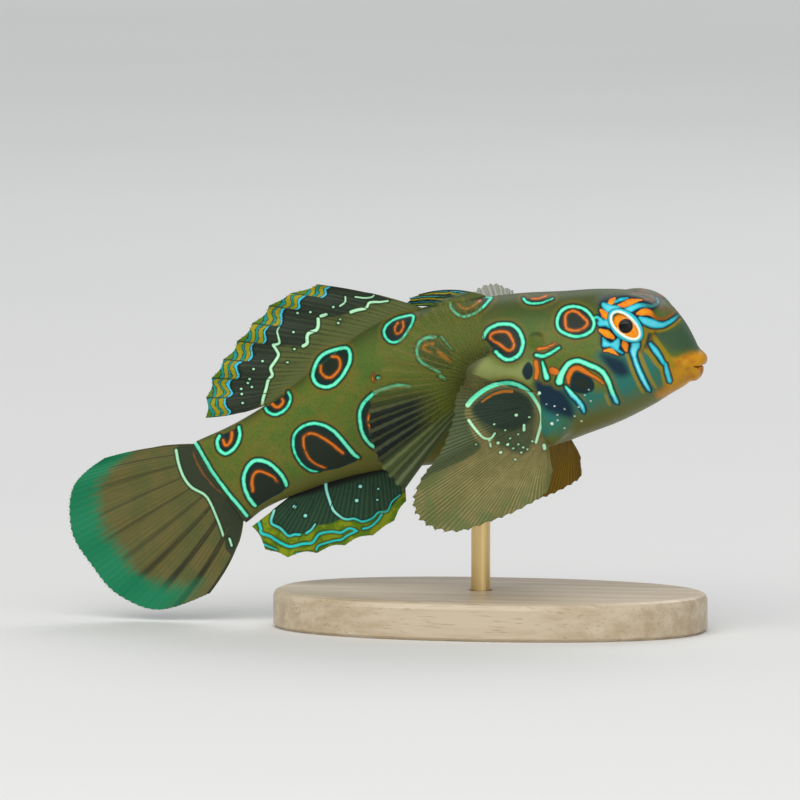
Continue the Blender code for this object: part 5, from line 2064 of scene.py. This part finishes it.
def eyelid(side):
    """The ring round an eye's opening, a closed tube, and how far out on its slope each point lies."""
    turn = np.linspace(0, 2 * math.pi, 2 * EYE_TURNS, endpoint=False)
    spread = opening_spread(turn)[:, None]
    across = np.cos(turn)[:, None] * EYE_LONG + np.sin(turn)[:, None] * EYE_SHORT
    out = np.cos(spread) * EYE_FACING + np.sin(spread) * across
    line = OPENING_ROOT + (waves(turn) @ skin_round_eye() - RIM_SINK)[:, None] * out
    beside = np.cross(np.roll(line, -1, axis=0) - np.roll(line, 1, axis=0), out)
    beside = unit(beside * np.sign(np.sum(beside * across, axis=1, keepdims=True)))
    angle = np.linspace(0, 2 * math.pi, RIM_SIDES, endpoint=False)
    width = np.where(np.sin(angle) > 0, RIM_SLOPE, RIM_RADIUS) * np.sin(angle)
    height = RIM_RADIUS * np.cos(angle)
    rings = line[:, None] + height[:, None] * out[:, None] + width[:, None] * beside[:, None]
    faces = grid_faces(len(line) + 1, RIM_SIDES) % (len(line) * RIM_SIDES)
    marks = dict(outward=np.tile(width, len(line)))
    return rings.reshape(-1, 3) * (1, side, 1), faces.tolist(), marks


def eyelid_colours(tree):
    outward = mark(tree, "outward") + (noise(in_mm(tree), 0.5) - 0.5) * 0.08
    blue = over(SKY, ICE, outward.below(0.26, 0.08) * 0.3)
    return {"Base Color": over(blue, PALE, outward.below(0.10, 0.03))}


EYELID = surface("eyelid_paint", eyelid_colours, PLAIN_RING, roughness=0.35, specular_ior_level=0.2)

# %% Place the eyes
for side_name, side in (("left", 1), ("right", -1)):
    points, faces, marks = turned(EYE_PROFILE, side)
    ball = make_piece(f"eyeball_{side_name}", points, faces, EYE_PAINT, marks)
    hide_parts(f"eye_{side_name}")
    points, faces, _ = turned(CORNEA_PROFILE, side)
    make_piece(f"cornea_{side_name}", points, faces, CORNEA, {})
    points, faces, marks = eyelid(side)
    make_piece(f"eyelid_{side_name}", points, faces, EYELID, marks)

# %% [markdown]
# ## The stand
#
# The base is pale oiled wood with a fine straight grain, and the rod is satin brass. Both stay the solids
# they are and only get a finish.

# %% Wood and brass
WOOD_PALE, WOOD_GRAIN, WOOD_PORE = (0.60, 0.50, 0.36), (0.46, 0.35, 0.22), (0.30, 0.22, 0.14)
PLAIN_WOOD, BRASS_YELLOW = (0.62, 0.55, 0.44), (0.75, 0.55, 0.25)
ALONG_BASE, ALONG_ROD = (0.06, 1.0, 1.0), (1.0, 1.0, 12.0)


def wood_colours(tree):
    place = in_mm(tree, ALONG_BASE)
    rings = noise(place, 1.6, 4.0, 0.6)
    pores = noise(place, 0.25)
    wood = over(WOOD_PALE, WOOD_GRAIN, rings.above(0.5, 0.18))
    wood = over(wood, WOOD_PORE, pores.above(0.64, 0.06) * 0.5)
    return {"Base Color": wood, "Roughness": 0.42 + rings * 0.12, "Normal": bump(pores, 0.03, 0.5)}


def brass_colours(tree):
    return {"Roughness": 0.26 + noise(in_mm(tree, ALONG_ROD), 1.2) * 0.16}


WOOD = surface("stand_wood_finish", wood_colours, PLAIN_WOOD, coat_weight=0.15, coat_roughness=0.2)
BRASS = surface(
    "stand_rod_finish", brass_colours, BRASS_YELLOW, base_color=(*BRASS_YELLOW, 1), metallic=1.0
)
for node_name, finish in (("stand_base", WOOD), ("stand_rod", BRASS)):
    solid = bpy.data.objects[node_name].data
    solid.materials.clear()
    solid.materials.append(finish)
    print(f"{node_name}: {len(solid.polygons)} faces")
